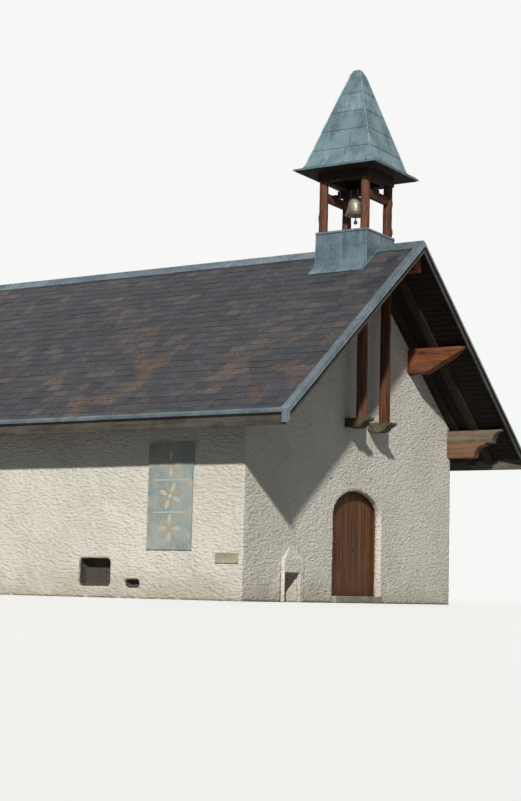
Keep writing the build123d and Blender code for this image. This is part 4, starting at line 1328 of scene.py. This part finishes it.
def yoke():
    """Wooden yoke of the bell with its iron axle and straps."""
    low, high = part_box("bell_headstock")
    box = ((low.x, TURRET_Y - 0.365, low.z), (high.x, TURRET_Y + 0.365, high.z), "y")
    hewn_boxes("bell_yoke", [box], "dark_timber", "post_wood", "bell_headstock", body="bell_unit",
               bevel=0.014, step=0.08)
    bm = bmesh.new()
    add_run(bm, circle(0.0118, 16), [low.y, high.y], lambda y, p, q: (p, y, BELL_AXIS + q))
    strap = ((low.x - 0.004, low.z - 0.004), (high.x + 0.004, low.z - 0.004),
             (high.x + 0.004, high.z + 0.004), (low.x - 0.004, high.z + 0.004))
    for y in (TURRET_Y - 0.30, TURRET_Y - 0.07, TURRET_Y + 0.07, TURRET_Y + 0.30):
        add_run(bm, strap, [y - 0.018, y + 0.018], lambda at, p, q: (p, at, q))
    made("yoke_irons", bm, 40, "forged_iron", "forged_iron", body="bell_unit")


def clapper():
    """Forged clapper: ball, rod and the eye round the staple's pin."""
    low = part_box("clapper")[0]
    ball = low.z + 0.036
    rod = ((0.0, low.z), (0.013, low.z + 0.002), (0.027, low.z + 0.011), (0.035, ball - 0.011),
           (0.036, ball + 0.002), (0.030, ball + 0.020), (0.018, ball + 0.038), (0.0095, ball + 0.060),
           (0.0085, ball + 0.13), (0.010, PIVOT_Z - 0.05), (0.011, PIVOT_Z - 0.018),
           (0.0, PIVOT_Z - 0.010))
    bm = bmesh.new()
    turned(bm, rod, 20, Vector((0.0, TURRET_Y, 0.0)))
    wire = [(0.0115 + 0.0045 * p, 0.007 * q) for p, q in circle(1.0, 8)]
    skin(bm, [[bm.verts.new((r * a, TURRET_Y + q, PIVOT_Z + r * b)) for r, q in wire]
              for a, b in circle(1.0, 20)], closed=True)
    made("forged_clapper", bm, 50, "forged_iron", "forged_iron", "clapper", body="clapper_unit")


# ---------------------------------------------------------------- doorway

def plank_leaf(side, name, node, body):
    """Door leaf of upright boards with grooves between them, two ledges on its inner face, and studs."""
    low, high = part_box(node)
    face, back = low.y, high.y - 0.028
    boards = settings("door").boards_per_leaf
    pitch = (high.x - low.x) / boards
    whole = bmesh.new()
    chance = random.Random(5 + side)
    for i in range(boards):
        front = face + 0.0006 + chance.uniform(0.0, 0.0012)
        board = box_mesh((low.x + i * pitch + 0.0012, front, low.z),
                         (low.x + (i + 1) * pitch - 0.0012, back, high.z))
        merge(whole, hewn(board, "z", 0.006, 0.3, 0.0008, 40 + i + 10 * side), 35)
    core = box_mesh((low.x + 0.004, face + 0.012, low.z + 0.004),
                    (high.x - 0.004, back - 0.004, high.z - 0.004))
    give_grain(core, "z", 3)
    merge(whole, core)
    for bottom in (0.59, 1.37):
        ledge = box_mesh((low.x + 0.06, back - 0.001, bottom), (high.x - 0.06, high.y, bottom + 0.12))
        merge(whole, hewn(ledge, "x", 0.006, 0.3, 0.0008, 61), 35)
    made(name, whole, None, "door_timber", "door_wood", node, body=body)

    bm = bmesh.new()
    head = ((0.0, -0.002), (0.0095, -0.002), (0.0095, 0.0015), (0.0065, 0.0048), (0.0, 0.006))
    turned(bm, head, 10, Vector((0, 0, 0)))
    bmesh.ops.recalc_face_normals(bm, faces=bm.faces)
    stud = new_object("pattern_stud", to_mesh(bm, "pattern_stud", 50))
    places = [(low.x + (i + 0.5) * pitch, face + 0.0008, z)
              for z in (0.40, 0.61, 0.69, 1.06, 1.39, 1.47, 1.72) for i in range(boards)]
    clear = [(x, y, z) for x, y, z in places if side < 0 or abs(x - 0.078) > 0.05 or abs(z - 1.04) > 0.13]
    count = len(clear)
    points = point_mesh(clear, size=[(1.0, 1.0, 1.0)] * count, turn=[(math.pi / 2, 0.0, 0.0)] * count,
                        kind=[0] * count)
    studs = new_object(name + "_studs", points)
    use_tree(studs, node_group("laid_studs"), {"Shape 1": stud, "Material": finish("forged_iron")})
    drop_shapes([stud])
    fit(studs, "forged_iron", "forged_iron", body=body)


def doorway():
    """Door frame, planked leaves, ironwork and threshold."""
    timber("hewn_door_frame", "door_frame", "z", "door_timber", "door_wood", bevel=0.006, wander=0.0012,
           seed=12)
    plank_leaf(-1, "plank_leaf_left", "door_leaf_left", "door_left")
    plank_leaf(1, "plank_leaf_right", "door_leaf_right", "door_right")
    for node in ("door_straps_left", "door_straps_right", "door_pintles", "door_grip"):
        dress(node, "forged_iron")
    stone = hewn(cad_mesh("door_threshold"), "x", 0.014, 0.12, 0.004, 6)
    made("worn_threshold", stone, 40, "threshold_stone", "floor_stone", "door_threshold")


# ---------------------------------------------------------------- stonework and floor

def rough_corbels():
    """Two corbels of roughly split stone with an upturned nose."""
    obj = remeshed("split_corbels", cad_mesh("corbels", joined=False), 0.0125)
    for vertex in obj.data.vertices:
        point = vertex.co.copy()
        rough = noise.fractal(point * 7.0, 0.8, 2.1, 4) * 0.020 + noise.noise(point * 31.0) * 0.004
        vertex.co += vertex.normal * min(0.006, rough - 0.006)
    fit(obj, "corbel_stone", "corbel_stone", "corbels")


def cut_length(start, end, drawn_length, least):
    """Drawn length, or all that is left where the rest would be less than the least."""
    length = min(drawn_length, end - start)
    return end - start if end - start - length < least else length


def flagged_floor():
    """Floor of worn flags with sunk joints."""
    low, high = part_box("floor_slab")
    bm = bmesh.new()
    chance = random.Random(91)
    joint = 0.006
    add_box(bm, low, (high.x, high.y, high.z - 0.012))
    row = low.y
    while row < high.y - 0.05:
        depth = cut_length(row, high.y, chance.uniform(0.42, 0.58), 0.15)
        x = low.x
        while x < high.x - 0.05:
            width = cut_length(x, high.x, chance.uniform(0.5, 0.95), 0.2)
            top = high.z - chance.uniform(0.0, 0.003)
            flag = box_mesh((x + joint, row + joint, high.z - 0.03),
                            (x + width - joint, row + depth - joint, top))
            upper = [e for e in flag.edges if all(v.co.z > high.z - 0.01 for v in e.verts)]
            bmesh.ops.bevel(flag, geom=upper, offset=0.008, segments=2, profile=0.5, affect="EDGES")
            merge(bm, flag)
            x += width
        row += depth
    made("flagged_floor", bm, 30, "flagstones", "floor_stone", "floor_slab")


# ---------------------------------------------------------------- wall panel

def relief(bm, outline, x, rise, soften=0.004):
    """Flat ornament on the panel: an outline in (y, z), raised towards the viewer with a soft edge."""
    middle = sum((Vector(p) for p in outline), Vector((0.0, 0.0))) / len(outline)
    rings = []
    for lift, shrink in ((-0.004, 0.0), (rise * 0.6, 0.0), (rise, soften)):
        rings.append([])
        for point in outline:
            away = Vector(point) - middle
            at = middle + away * max(0.0, 1.0 - shrink / max(away.length, 0.01))
            rings[-1].append(bm.verts.new((x - lift, at.x, at.y)))
    skin(bm, rings)


def petal(centre, angle, length, width, points=9):
    """Pointed petal that grows from a centre, as an outline in (y, z)."""
    edge = [(length * share, width / 2 * math.sin(math.pi * share) ** 0.8)
            for share in spread(0.0, 1.0, points)]
    edge += [(length * share, -width / 2 * math.sin(math.pi * share) ** 0.8)
             for share in spread(1.0, 0.0, points)[1:-1]]
    turn = Matrix.Rotation(angle, 2)
    return [tuple(Vector(centre) + turn @ Vector(p)) for p in edge]


def lozenge(centre, wide, tall):
    """Diamond outline in (y, z)."""
    y, z = centre
    return [(y - wide / 2, z), (y, z - tall / 2), (y + wide / 2, z), (y, z + tall / 2)]


def frame_point(low, high, corner, share, inward):
    """Point in (y, z) on an upright frame: a share along the side from a corner, some way inward."""
    first, second = (Vector(((high.y if a > 0 else low.y) - a * inward,
                             (high.z if b > 0 else low.z) - b * inward))
                     for a, b in (CORNERS[corner], CORNERS[(corner + 1) % 4]))
    return first + (second - first) * share


def panel_ground(low, high, face):
    """Blue-grey ground of the painted panel, a little uneven."""
    bm = box_mesh((face, low.y + 0.004, low.z + 0.004), (high.x, high.y - 0.004, high.z - 0.004))
    long = [e for e in bm.edges if e.calc_length() > 0.2]
    bmesh.ops.subdivide_edges(bm, edges=long, cuts=12, use_grid_fill=True)
    for vertex in bm.verts:
        if vertex.co.x < high.x - 0.01:
            vertex.co.x += noise.noise(vertex.co * 5.0) * 0.0012
    made("panel_ground", bm, 30, "panel_ground", "painted_plaster", "painted_panel")


def panel_border(low, high, face, border):
    """Pale border of the painted panel, with an uneven inner edge."""
    section = ((-0.0025, 0.0), (0.004, 0.0), (0.004, 0.007), (0.0005, 0.012), (0.0005, border - 0.016),
               (0.003, border - 0.006), (0.0025, border), (-0.0025, border))
    bm = bmesh.new()
    rings = []
    for corner, (a, b) in enumerate(CORNERS):
        for share in spread(0.0, 1.0, 14)[:-1]:
            rings.append([])
            for lift, inward in section:
                at = frame_point(low, high, corner, share, inward)
                wave = noise.noise(Vector((at.x * 9.0, at.y * 9.0, inward * 30.0))) * 0.0022 * (inward > 0.02)
                rings[-1].append(bm.verts.new((face - lift, at.x - a * wave, at.y - b * wave)))
    skin(bm, rings, closed=True)
    made("panel_border", bm, 30, "panel_border", "painted_plaster")


def panel_petals(low, high, face, border):
    """Plain ornament of the painted panel: petals, discs, lozenges and dividing bands."""
    middle = (low.y + high.y) / 2
    y0, y1 = low.y + border, high.y - border
    rise = 0.0016
    ochre, cream = bmesh.new(), bmesh.new()
    bands = spread(low.z + border, high.z - border, 3)
    petals = settings("panel").petals
    for k, (foot, head) in enumerate(zip(bands, bands[1:])):
        centre = Vector((middle, (foot + head) / 2))
        size = min(y1 - y0, head - foot) / 2
        for i in range(petals):
            angle = math.tau * (i + 0.5 * (k % 2)) / petals + math.pi / 2
            start = (middle + 0.052 * math.cos(angle), (foot + head) / 2 + 0.052 * math.sin(angle))
            relief(ochre if i % 2 else cream, petal(start, angle, size * 0.70, size * 0.30), face, rise)
        disc = [centre + Vector(p) for p in circle(0.040, 28)]
        relief(cream if k % 2 else ochre, disc, face, rise)
        for a in (-1, 1):
            for b in (-1, 1):
                at = (middle + a * (y1 - y0) * 0.40, (foot + head) / 2 + b * (head - foot) * 0.37)
                relief(ochre, lozenge(at, 0.075, 0.105), face, rise)
    for line in bands[1:-1]:
        outline = [(y0 + 0.03, line - 0.012), (y1 - 0.03, line - 0.012), (y1 - 0.03, line + 0.012),
                   (y0 + 0.03, line + 0.012)]
        relief(cream, outline, face, rise, 0.002)
    made("panel_petals_ochre", ochre, 30, "panel_ochre", "painted_plaster")
    made("panel_petals_cream", cream, 30, "panel_cream", "painted_plaster")


def bare_plaque():
    """Bare plaque with a worn raised rim."""
    low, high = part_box("wall_plaque")
    bm = bmesh.new()
    levels = ((0.0, high.x), (0.0, low.x + 0.006), (0.005, low.x + 0.001), (0.016, low.x),
              (0.022, low.x + 0.005), (0.030, low.x + 0.006))
    rings = []
    for inward, x in levels:
        rings.append([])
        wander = 0.0016 if x < high.x else 0.0
        for corner in range(4):
            for share in spread(0.0, 1.0, 8)[:-1]:
                at = Vector((x, *frame_point(low, high, corner, share, inward)))
                rings[-1].append(bm.verts.new(at + noise.noise_vector(at * 12.0) * wander))
    skin(bm, rings)
    made("bare_plaque", bm, 30, "plaque_stone", "plaque_stone", "wall_plaque")


# ---------------------------------------------------------------- stage

def backdrop_rays(tree):
    """One for the rays that show the surround to the camera, to gloss and to glass."""
    rays = put(tree, "ShaderNodeLightPath")
    gloss = maths(tree, "MAXIMUM", rays.outputs["Is Glossy Ray"], rays.outputs["Is Transmission Ray"])
    return maths(tree, "MAXIMUM", rays.outputs["Is Camera Ray"], gloss)


def studio_floor(stage):
    """Pale floor, a little paler to the camera than it is lit."""
    floor = bmesh.new()
    bmesh.ops.create_circle(floor, cap_ends=True, segments=96, radius=stage.floor_radius)
    ground = new_object("studio_floor", to_mesh(floor, "studio_floor"))
    material, tree, shader, _ = new_material("studio_floor", 0.95, specular=0.1)
    shader.inputs["Base Color"].default_value = (0.27, 0.27, 0.265, 1.0)
    shader.inputs["Emission Color"].default_value = (1.0, 1.0, 0.98, 1.0)
    feed(tree, shader, "Emission Strength", product(tree, backdrop_rays(tree), stage.floor_glow))
    ground.data.materials.append(material)


def studio_sky(stage):
    """Even sky light, and the pale surround that the camera sees."""
    world = bpy.data.worlds.new("studio_sky")
    world.use_nodes = True
    bpy.context.scene.world = world
    tree = world.node_tree
    tree.nodes.clear()
    seen = put(tree, "ShaderNodeBackground", {"Color": (0.93, 0.93, 0.92, 1.0), "Strength": 1.0})
    feeds = {"Color": (0.80, 0.88, 1.0, 1.0), "Strength": stage.sky_strength}
    light = put(tree, "ShaderNodeBackground", feeds)
    feeds = {"Fac": backdrop_rays(tree), 1: light.outputs[0], 2: seen.outputs[0]}
    mix = put(tree, "ShaderNodeMixShader", feeds)
    put(tree, "ShaderNodeOutputWorld", {"Surface": mix.outputs[0]})


def studio_lamps(stage):
    """Sun from the left, and a soft light from behind that makes no highlights."""
    lamps = (("studio_sun", stage.sun_strength, stage.sun_size, (1.0, 0.95, 0.87), stage.sun_travel),
             ("studio_fill", stage.fill_strength, stage.fill_size, (0.94, 0.97, 1.0), stage.fill_travel))
    for name, strength, size, colour, travel in lamps:
        light = bpy.data.lights.new(name, "SUN")
        light.energy, light.angle, light.color = strength, size, colour
        lamp = new_object(name, light)
        lamp.rotation_euler = Vector(travel).to_track_quat("-Z", "Y").to_euler()
        lamp.visible_glossy = name == "studio_sun"


def photo_camera(stage):
    """Camera in the photograph's place."""
    lens = bpy.data.cameras.new("photo_camera")
    lens.sensor_width = 36.0
    lens.lens = stage.lens_mm
    lens.clip_end = 400.0
    camera = new_object("photo_camera", lens)
    yaw, pitch, roll = stage.camera_yaw, stage.camera_pitch, stage.camera_roll
    ahead = Vector((math.sin(yaw) * math.cos(pitch), math.cos(yaw) * math.cos(pitch), math.sin(pitch)))
    level = Vector((math.cos(yaw), -math.sin(yaw), 0.0))
    above = level.cross(ahead)
    right = math.cos(roll) * level + math.sin(roll) * above
    top = math.cos(roll) * above - math.sin(roll) * level
    turn = Matrix((right, top, -ahead)).transposed().to_4x4()
    camera.matrix_world = Matrix.Translation(stage.camera_place) @ turn
    bpy.context.scene.camera = camera


# ---------------------------------------------------------------- settings

def number_setting(label, text, value, **options):
    """Number setting."""
    return bpy.props.FloatProperty(name=label, description=text, default=value, **options)


def length_setting(label, text, value):
    """Length setting in metres."""
    return number_setting(label, text, value, unit="LENGTH")


def angle_setting(label, text, value):
    """Angle setting in radians."""
    return number_setting(label, text, value, subtype="ANGLE")


def count_setting(label, text, value, least, most):
    """Setting in whole numbers."""
    return bpy.props.IntProperty(name=label, description=text, default=value, min=least, max=most)


def colour_setting(label, text, value):
    """Colour setting."""
    return bpy.props.FloatVectorProperty(name=label, description=text, default=value, min=0.0, max=1.0,
                                         subtype="COLOR")


def vector_setting(label, text, value, subtype="DIRECTION"):
    """Setting of a direction or a place."""
    return bpy.props.FloatVectorProperty(name=label, description=text, default=value, subtype=subtype)


class ChapelColours(bpy.types.PropertyGroup):
    """Colours of the chapel's larger surfaces."""
    render_light: colour_setting("Render light", "Sunlit lime render", (0.69, 0.678, 0.622))
    render_dark: colour_setting("Render dark", "Weathered lime render", (0.60, 0.588, 0.532))
    slate_dark: colour_setting("Slate dark", "Darkest slates", (0.026, 0.028, 0.034))
    slate_light: colour_setting("Slate light", "Palest slates", (0.049, 0.052, 0.062))
    roof_stain: colour_setting("Roof stain", "Brown stain on the slates", (0.26, 0.155, 0.070))
    stain_share: number_setting("Stain share", "Strength of the brown stain", 0.45, subtype="FACTOR")
    zinc_light: colour_setting("Sheet light", "Edge sheet, pale", (0.125, 0.168, 0.200))
    zinc_dark: colour_setting("Sheet dark", "Edge sheet, dark", (0.070, 0.099, 0.123))
    spire_light: colour_setting("Spire light", "Spire sheet, pale", (0.155, 0.245, 0.285))
    spire_dark: colour_setting("Spire dark", "Spire sheet, dark", (0.060, 0.110, 0.140))
    bell_light: colour_setting("Bell light", "Bronze, pale", (0.30, 0.280, 0.225))
    bell_dark: colour_setting("Bell dark", "Bronze, dark", (0.150, 0.137, 0.108))


class ChapelWalls(bpy.types.PropertyGroup):
    """Unevenness of the rendered walls."""
    hollow_depth: length_setting("Hollow depth", "Depth of the broad hollows", 0.012)
    ripple_depth: length_setting("Ripple depth", "Depth of the trowel ripples", 0.020)
    ripple_density: number_setting("Ripple density", "Ripples to the metre", 8.5)
    lump_depth: length_setting("Lump depth", "Depth of the small lumps", 0.008)


class ChapelRoof(bpy.types.PropertyGroup):
    """Slates, boards and sheet lengths."""
    slate_exposure: length_setting("Slate exposure", "Seen length of a slate", 0.20)
    slate_width: length_setting("Slate width", "Usual width of a slate", 0.27)
    slate_thickness: length_setting("Slate thickness", "Thickness of a slate", 0.007)
    slate_bed: length_setting("Slate bed", "Depth of the slates' bed below the roof plane", 0.024)
    board_pitch: length_setting("Board pitch", "Pitch of the roof boards", 0.13)
    board_gap: length_setting("Board gap", "Gap between roof boards", 0.009)
    sheet_length: length_setting("Sheet length", "Length of an edge strip", 1.9)


class ChapelTurret(bpy.types.PropertyGroup):
    """Sheet work of the spire."""
    course_height: length_setting("Course height", "Height of a course of sheets", 0.34)
    sheet_width: length_setting("Sheet width", "Width of a sheet", 0.62)


class ChapelDoor(bpy.types.PropertyGroup):
    """Planks of the door."""
    boards_per_leaf: count_setting("Boards", "Boards in one leaf", 6, 2, 12)


class ChapelPanel(bpy.types.PropertyGroup):
    """Ornament of the painted panel."""
    border_width: length_setting("Border width", "Width of the pale border", 0.075)
    petals: count_setting("Petals", "Petals of one rosette", 8, 4, 16)


class ChapelStage(bpy.types.PropertyGroup):
    """Light, floor and camera."""
    floor_radius: length_setting("Floor radius", "Radius of the studio floor", 60.0)
    floor_glow: number_setting("Floor glow", "Paleness added to the floor as seen", 0.62, subtype="FACTOR")
    sky_strength: number_setting("Sky", "Strength of the sky light", 0.19)
    sun_strength: number_setting("Sun", "Strength of the sun", 3.9)
    sun_size: angle_setting("Sun size", "Angle of the sun disc", 0.035)
    sun_travel: vector_setting("Sun travel", "Direction in which the sunlight goes", (0.757, 0.422, -0.50))
    fill_strength: number_setting("Fill", "Strength of the soft light from behind", 1.5)
    fill_size: angle_setting("Fill size", "Angle of the soft light", 0.55)
    fill_travel: vector_setting("Fill travel", "Direction of the soft light", (-0.78, -0.50, -0.26))
    lens_mm: number_setting("Lens", "Focal length in mm", 73.18154, unit="CAMERA")
    camera_yaw: angle_setting("Yaw", "Heading from +Y towards +X", 1.002171)
    camera_pitch: angle_setting("Pitch", "Upward tilt", 0.117293)
    camera_roll: angle_setting("Roll", "Roll about the view", 0.024618)
    camera_place: vector_setting("Place", "Camera position", (-25.503329, -18.366148, 0.15), "TRANSLATION")


# ---------------------------------------------------------------- operators

class CHAPEL_OT_walls(bpy.types.Operator):
    """Build the rendered walls and the ledge"""
    bl_idname = "chapel.walls"
    bl_label = "Walls"

    def execute(self, context):
        nodes = ("front_wall_left", "front_wall_right", "front_wall_arch", "front_wall_gable")
        front = rendered_piece("front_render", nodes, 0.034, stub_pair(GABLE_Y + 0.05, SEAM_FRONT + 0.30))
        tuck(front, SEAM_FRONT - 0.02, 1)
        back = rendered_piece("back_render", ("back_wall",), 0.05, stub_pair(SEAM_REAR - 0.30, REAR_Y - 0.05))
        tuck(back, SEAM_REAR + 0.02, -1)
        rendered_piece("left_render", ("left_wall",), 0.034)
        rendered_piece("right_render", ("right_wall",), 0.05)
        rendered_piece("ledge_render", ("stone_ledge",), 0.012, depth=0.5)
        return {"FINISHED"}


class CHAPEL_OT_slates(bpy.types.Operator):
    """Lay the slates of both slopes"""
    bl_idname = "chapel.slates"
    bl_label = "Slates"

    def execute(self, context):
        slate_slope(-1, "slates_left", "roof_covering_left")
        slate_slope(1, "slates_right", "roof_covering_right")
        return {"FINISHED"}


class CHAPEL_OT_roof_timbers(bpy.types.Operator):
    """Build boards, rafters, purlins, wall plates, fascias and verge boards"""
    bl_idname = "chapel.roof_timbers"
    bl_label = "Roof timbers"

    def execute(self, context):
        roof_boards(-1, "soffit_boards_left", "roof_boards_left")
        roof_boards(1, "soffit_boards_right", "roof_boards_right")
        for name, seed in (("rafters_left", 2), ("rafters_right", 3)):
            timber("hewn_" + name, name, "slope", "dark_timber", "dark_wood", bevel=0.008, seed=seed)
        timber("hewn_ridge_purlin", "ridge_purlin", "y", "beam_timber", "beam_wood", seed=4)
        timber("hewn_mid_purlins", "mid_purlins", "y", "beam_timber", "beam_wood", seed=5)
        timber("hewn_plates_lower", "wall_plates_lower", "y", "lower_plate_timber", "beam_wood", seed=6)
        timber("hewn_plates_upper", "wall_plates_upper", "y", "plate_timber", "beam_wood", seed=7)
        timber("sawn_fascias", "fascias", "y", "grey_timber", "grey_wood", bevel=0.003, wander=0.003, seed=8)
        timber("sawn_verge_boards", "verge_boards", "slope", "grey_timber", "grey_wood", bevel=0.003,
               wander=0.002, seed=9)
        return {"FINISHED"}


class CHAPEL_OT_sheet_edges(bpy.types.Operator):
    """Fold the sheet strips of verges, eaves and ridge"""
    bl_idname = "chapel.sheet_edges"
    bl_label = "Sheet edges"

    def execute(self, context):
        verge_strips()
        eave_strips()
        # Dark battens under the strips' lips: painted shadow.
        edge_battens()
        ridge_sheet()
        return {"FINISHED"}


class CHAPEL_OT_turret(bpy.types.Operator):
    """Build the turret's base, posts, beams and spire"""
    bl_idname = "chapel.turret"
    bl_label = "Turret"

    def execute(self, context):
        turret_base()
        turret_posts()
        turret_timbers()
        spire()
        rough_corbels()
        return {"FINISHED"}


class CHAPEL_OT_bell(bpy.types.Operator):
    """Build bell, yoke and clapper"""
    bl_idname = "chapel.bell"
    bl_label = "Bell"

    def execute(self, context):
        bell()
        yoke()
        clapper()
        return {"FINISHED"}


class CHAPEL_OT_doorway(bpy.types.Operator):
    """Build door frame, leaves, ironwork and threshold"""
    bl_idname = "chapel.doorway"
    bl_label = "Doorway"

    def execute(self, context):
        doorway()
        flagged_floor()
        return {"FINISHED"}


class CHAPEL_OT_panel(bpy.types.Operator):
    """Build the painted panel and the plaque"""
    bl_idname = "chapel.wall_panel"
    bl_label = "Panel and plaque"

    def execute(self, context):
        low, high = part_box("painted_panel")
        face = low.x + 0.004
        border = settings("panel").border_width
        panel_ground(low, high, face)
        panel_border(low, high, face, border)
        panel_petals(low, high, face, border)
        bare_plaque()
        return {"FINISHED"}


class CHAPEL_OT_studio(bpy.types.Operator):
    """Set floor, light and camera"""
    bl_idname = "chapel.studio"
    bl_label = "Studio"

    def execute(self, context):
        stage = settings("stage")
        studio_floor(stage)
        studio_sky(stage)
        studio_lamps(stage)
        context.scene.view_settings.view_transform = "Standard"
        photo_camera(stage)
        return {"FINISHED"}


class CHAPEL_PT_pieces(bpy.types.Panel):
    """Buttons for all pieces"""
    bl_idname = "CHAPEL_PT_pieces"
    bl_label = "Small chapel"
    bl_space_type = "VIEW_3D"
    bl_region_type = "UI"
    bl_category = "Chapel"

    def draw(self, context):
        for operator in operators:
            self.layout.operator(operator.bl_idname)


groups = {"chapel_colours": ChapelColours, "chapel_walls": ChapelWalls, "chapel_roof": ChapelRoof,
          "chapel_turret": ChapelTurret, "chapel_door": ChapelDoor, "chapel_panel": ChapelPanel,
          "chapel_stage": ChapelStage}
operators = (CHAPEL_OT_walls, CHAPEL_OT_slates, CHAPEL_OT_roof_timbers, CHAPEL_OT_sheet_edges,
             CHAPEL_OT_turret, CHAPEL_OT_bell, CHAPEL_OT_doorway, CHAPEL_OT_panel, CHAPEL_OT_studio)


def register():
    """Registers settings, operators and panel."""
    for name, group in groups.items():
        bpy.utils.register_class(group)
        setattr(bpy.types.Scene, name, bpy.props.PointerProperty(type=group))
    for operator in operators:
        bpy.utils.register_class(operator)
    bpy.utils.register_class(CHAPEL_PT_pieces)


def unregister():
    """Removes them again."""
    bpy.utils.unregister_class(CHAPEL_PT_pieces)
    for operator in reversed(operators):
        bpy.utils.unregister_class(operator)
    for name, group in groups.items():
        delattr(bpy.types.Scene, name)
        bpy.utils.unregister_class(group)


def main():
    """Builds every piece."""
    register()
    noise.seed_set(NOISE_SEED)
    for step in (bpy.ops.chapel.walls, bpy.ops.chapel.slates, bpy.ops.chapel.roof_timbers,
                 bpy.ops.chapel.sheet_edges, bpy.ops.chapel.turret, bpy.ops.chapel.bell,
                 bpy.ops.chapel.doorway, bpy.ops.chapel.wall_panel, bpy.ops.chapel.studio):
        step()


if __name__ == "__main__":
    main()
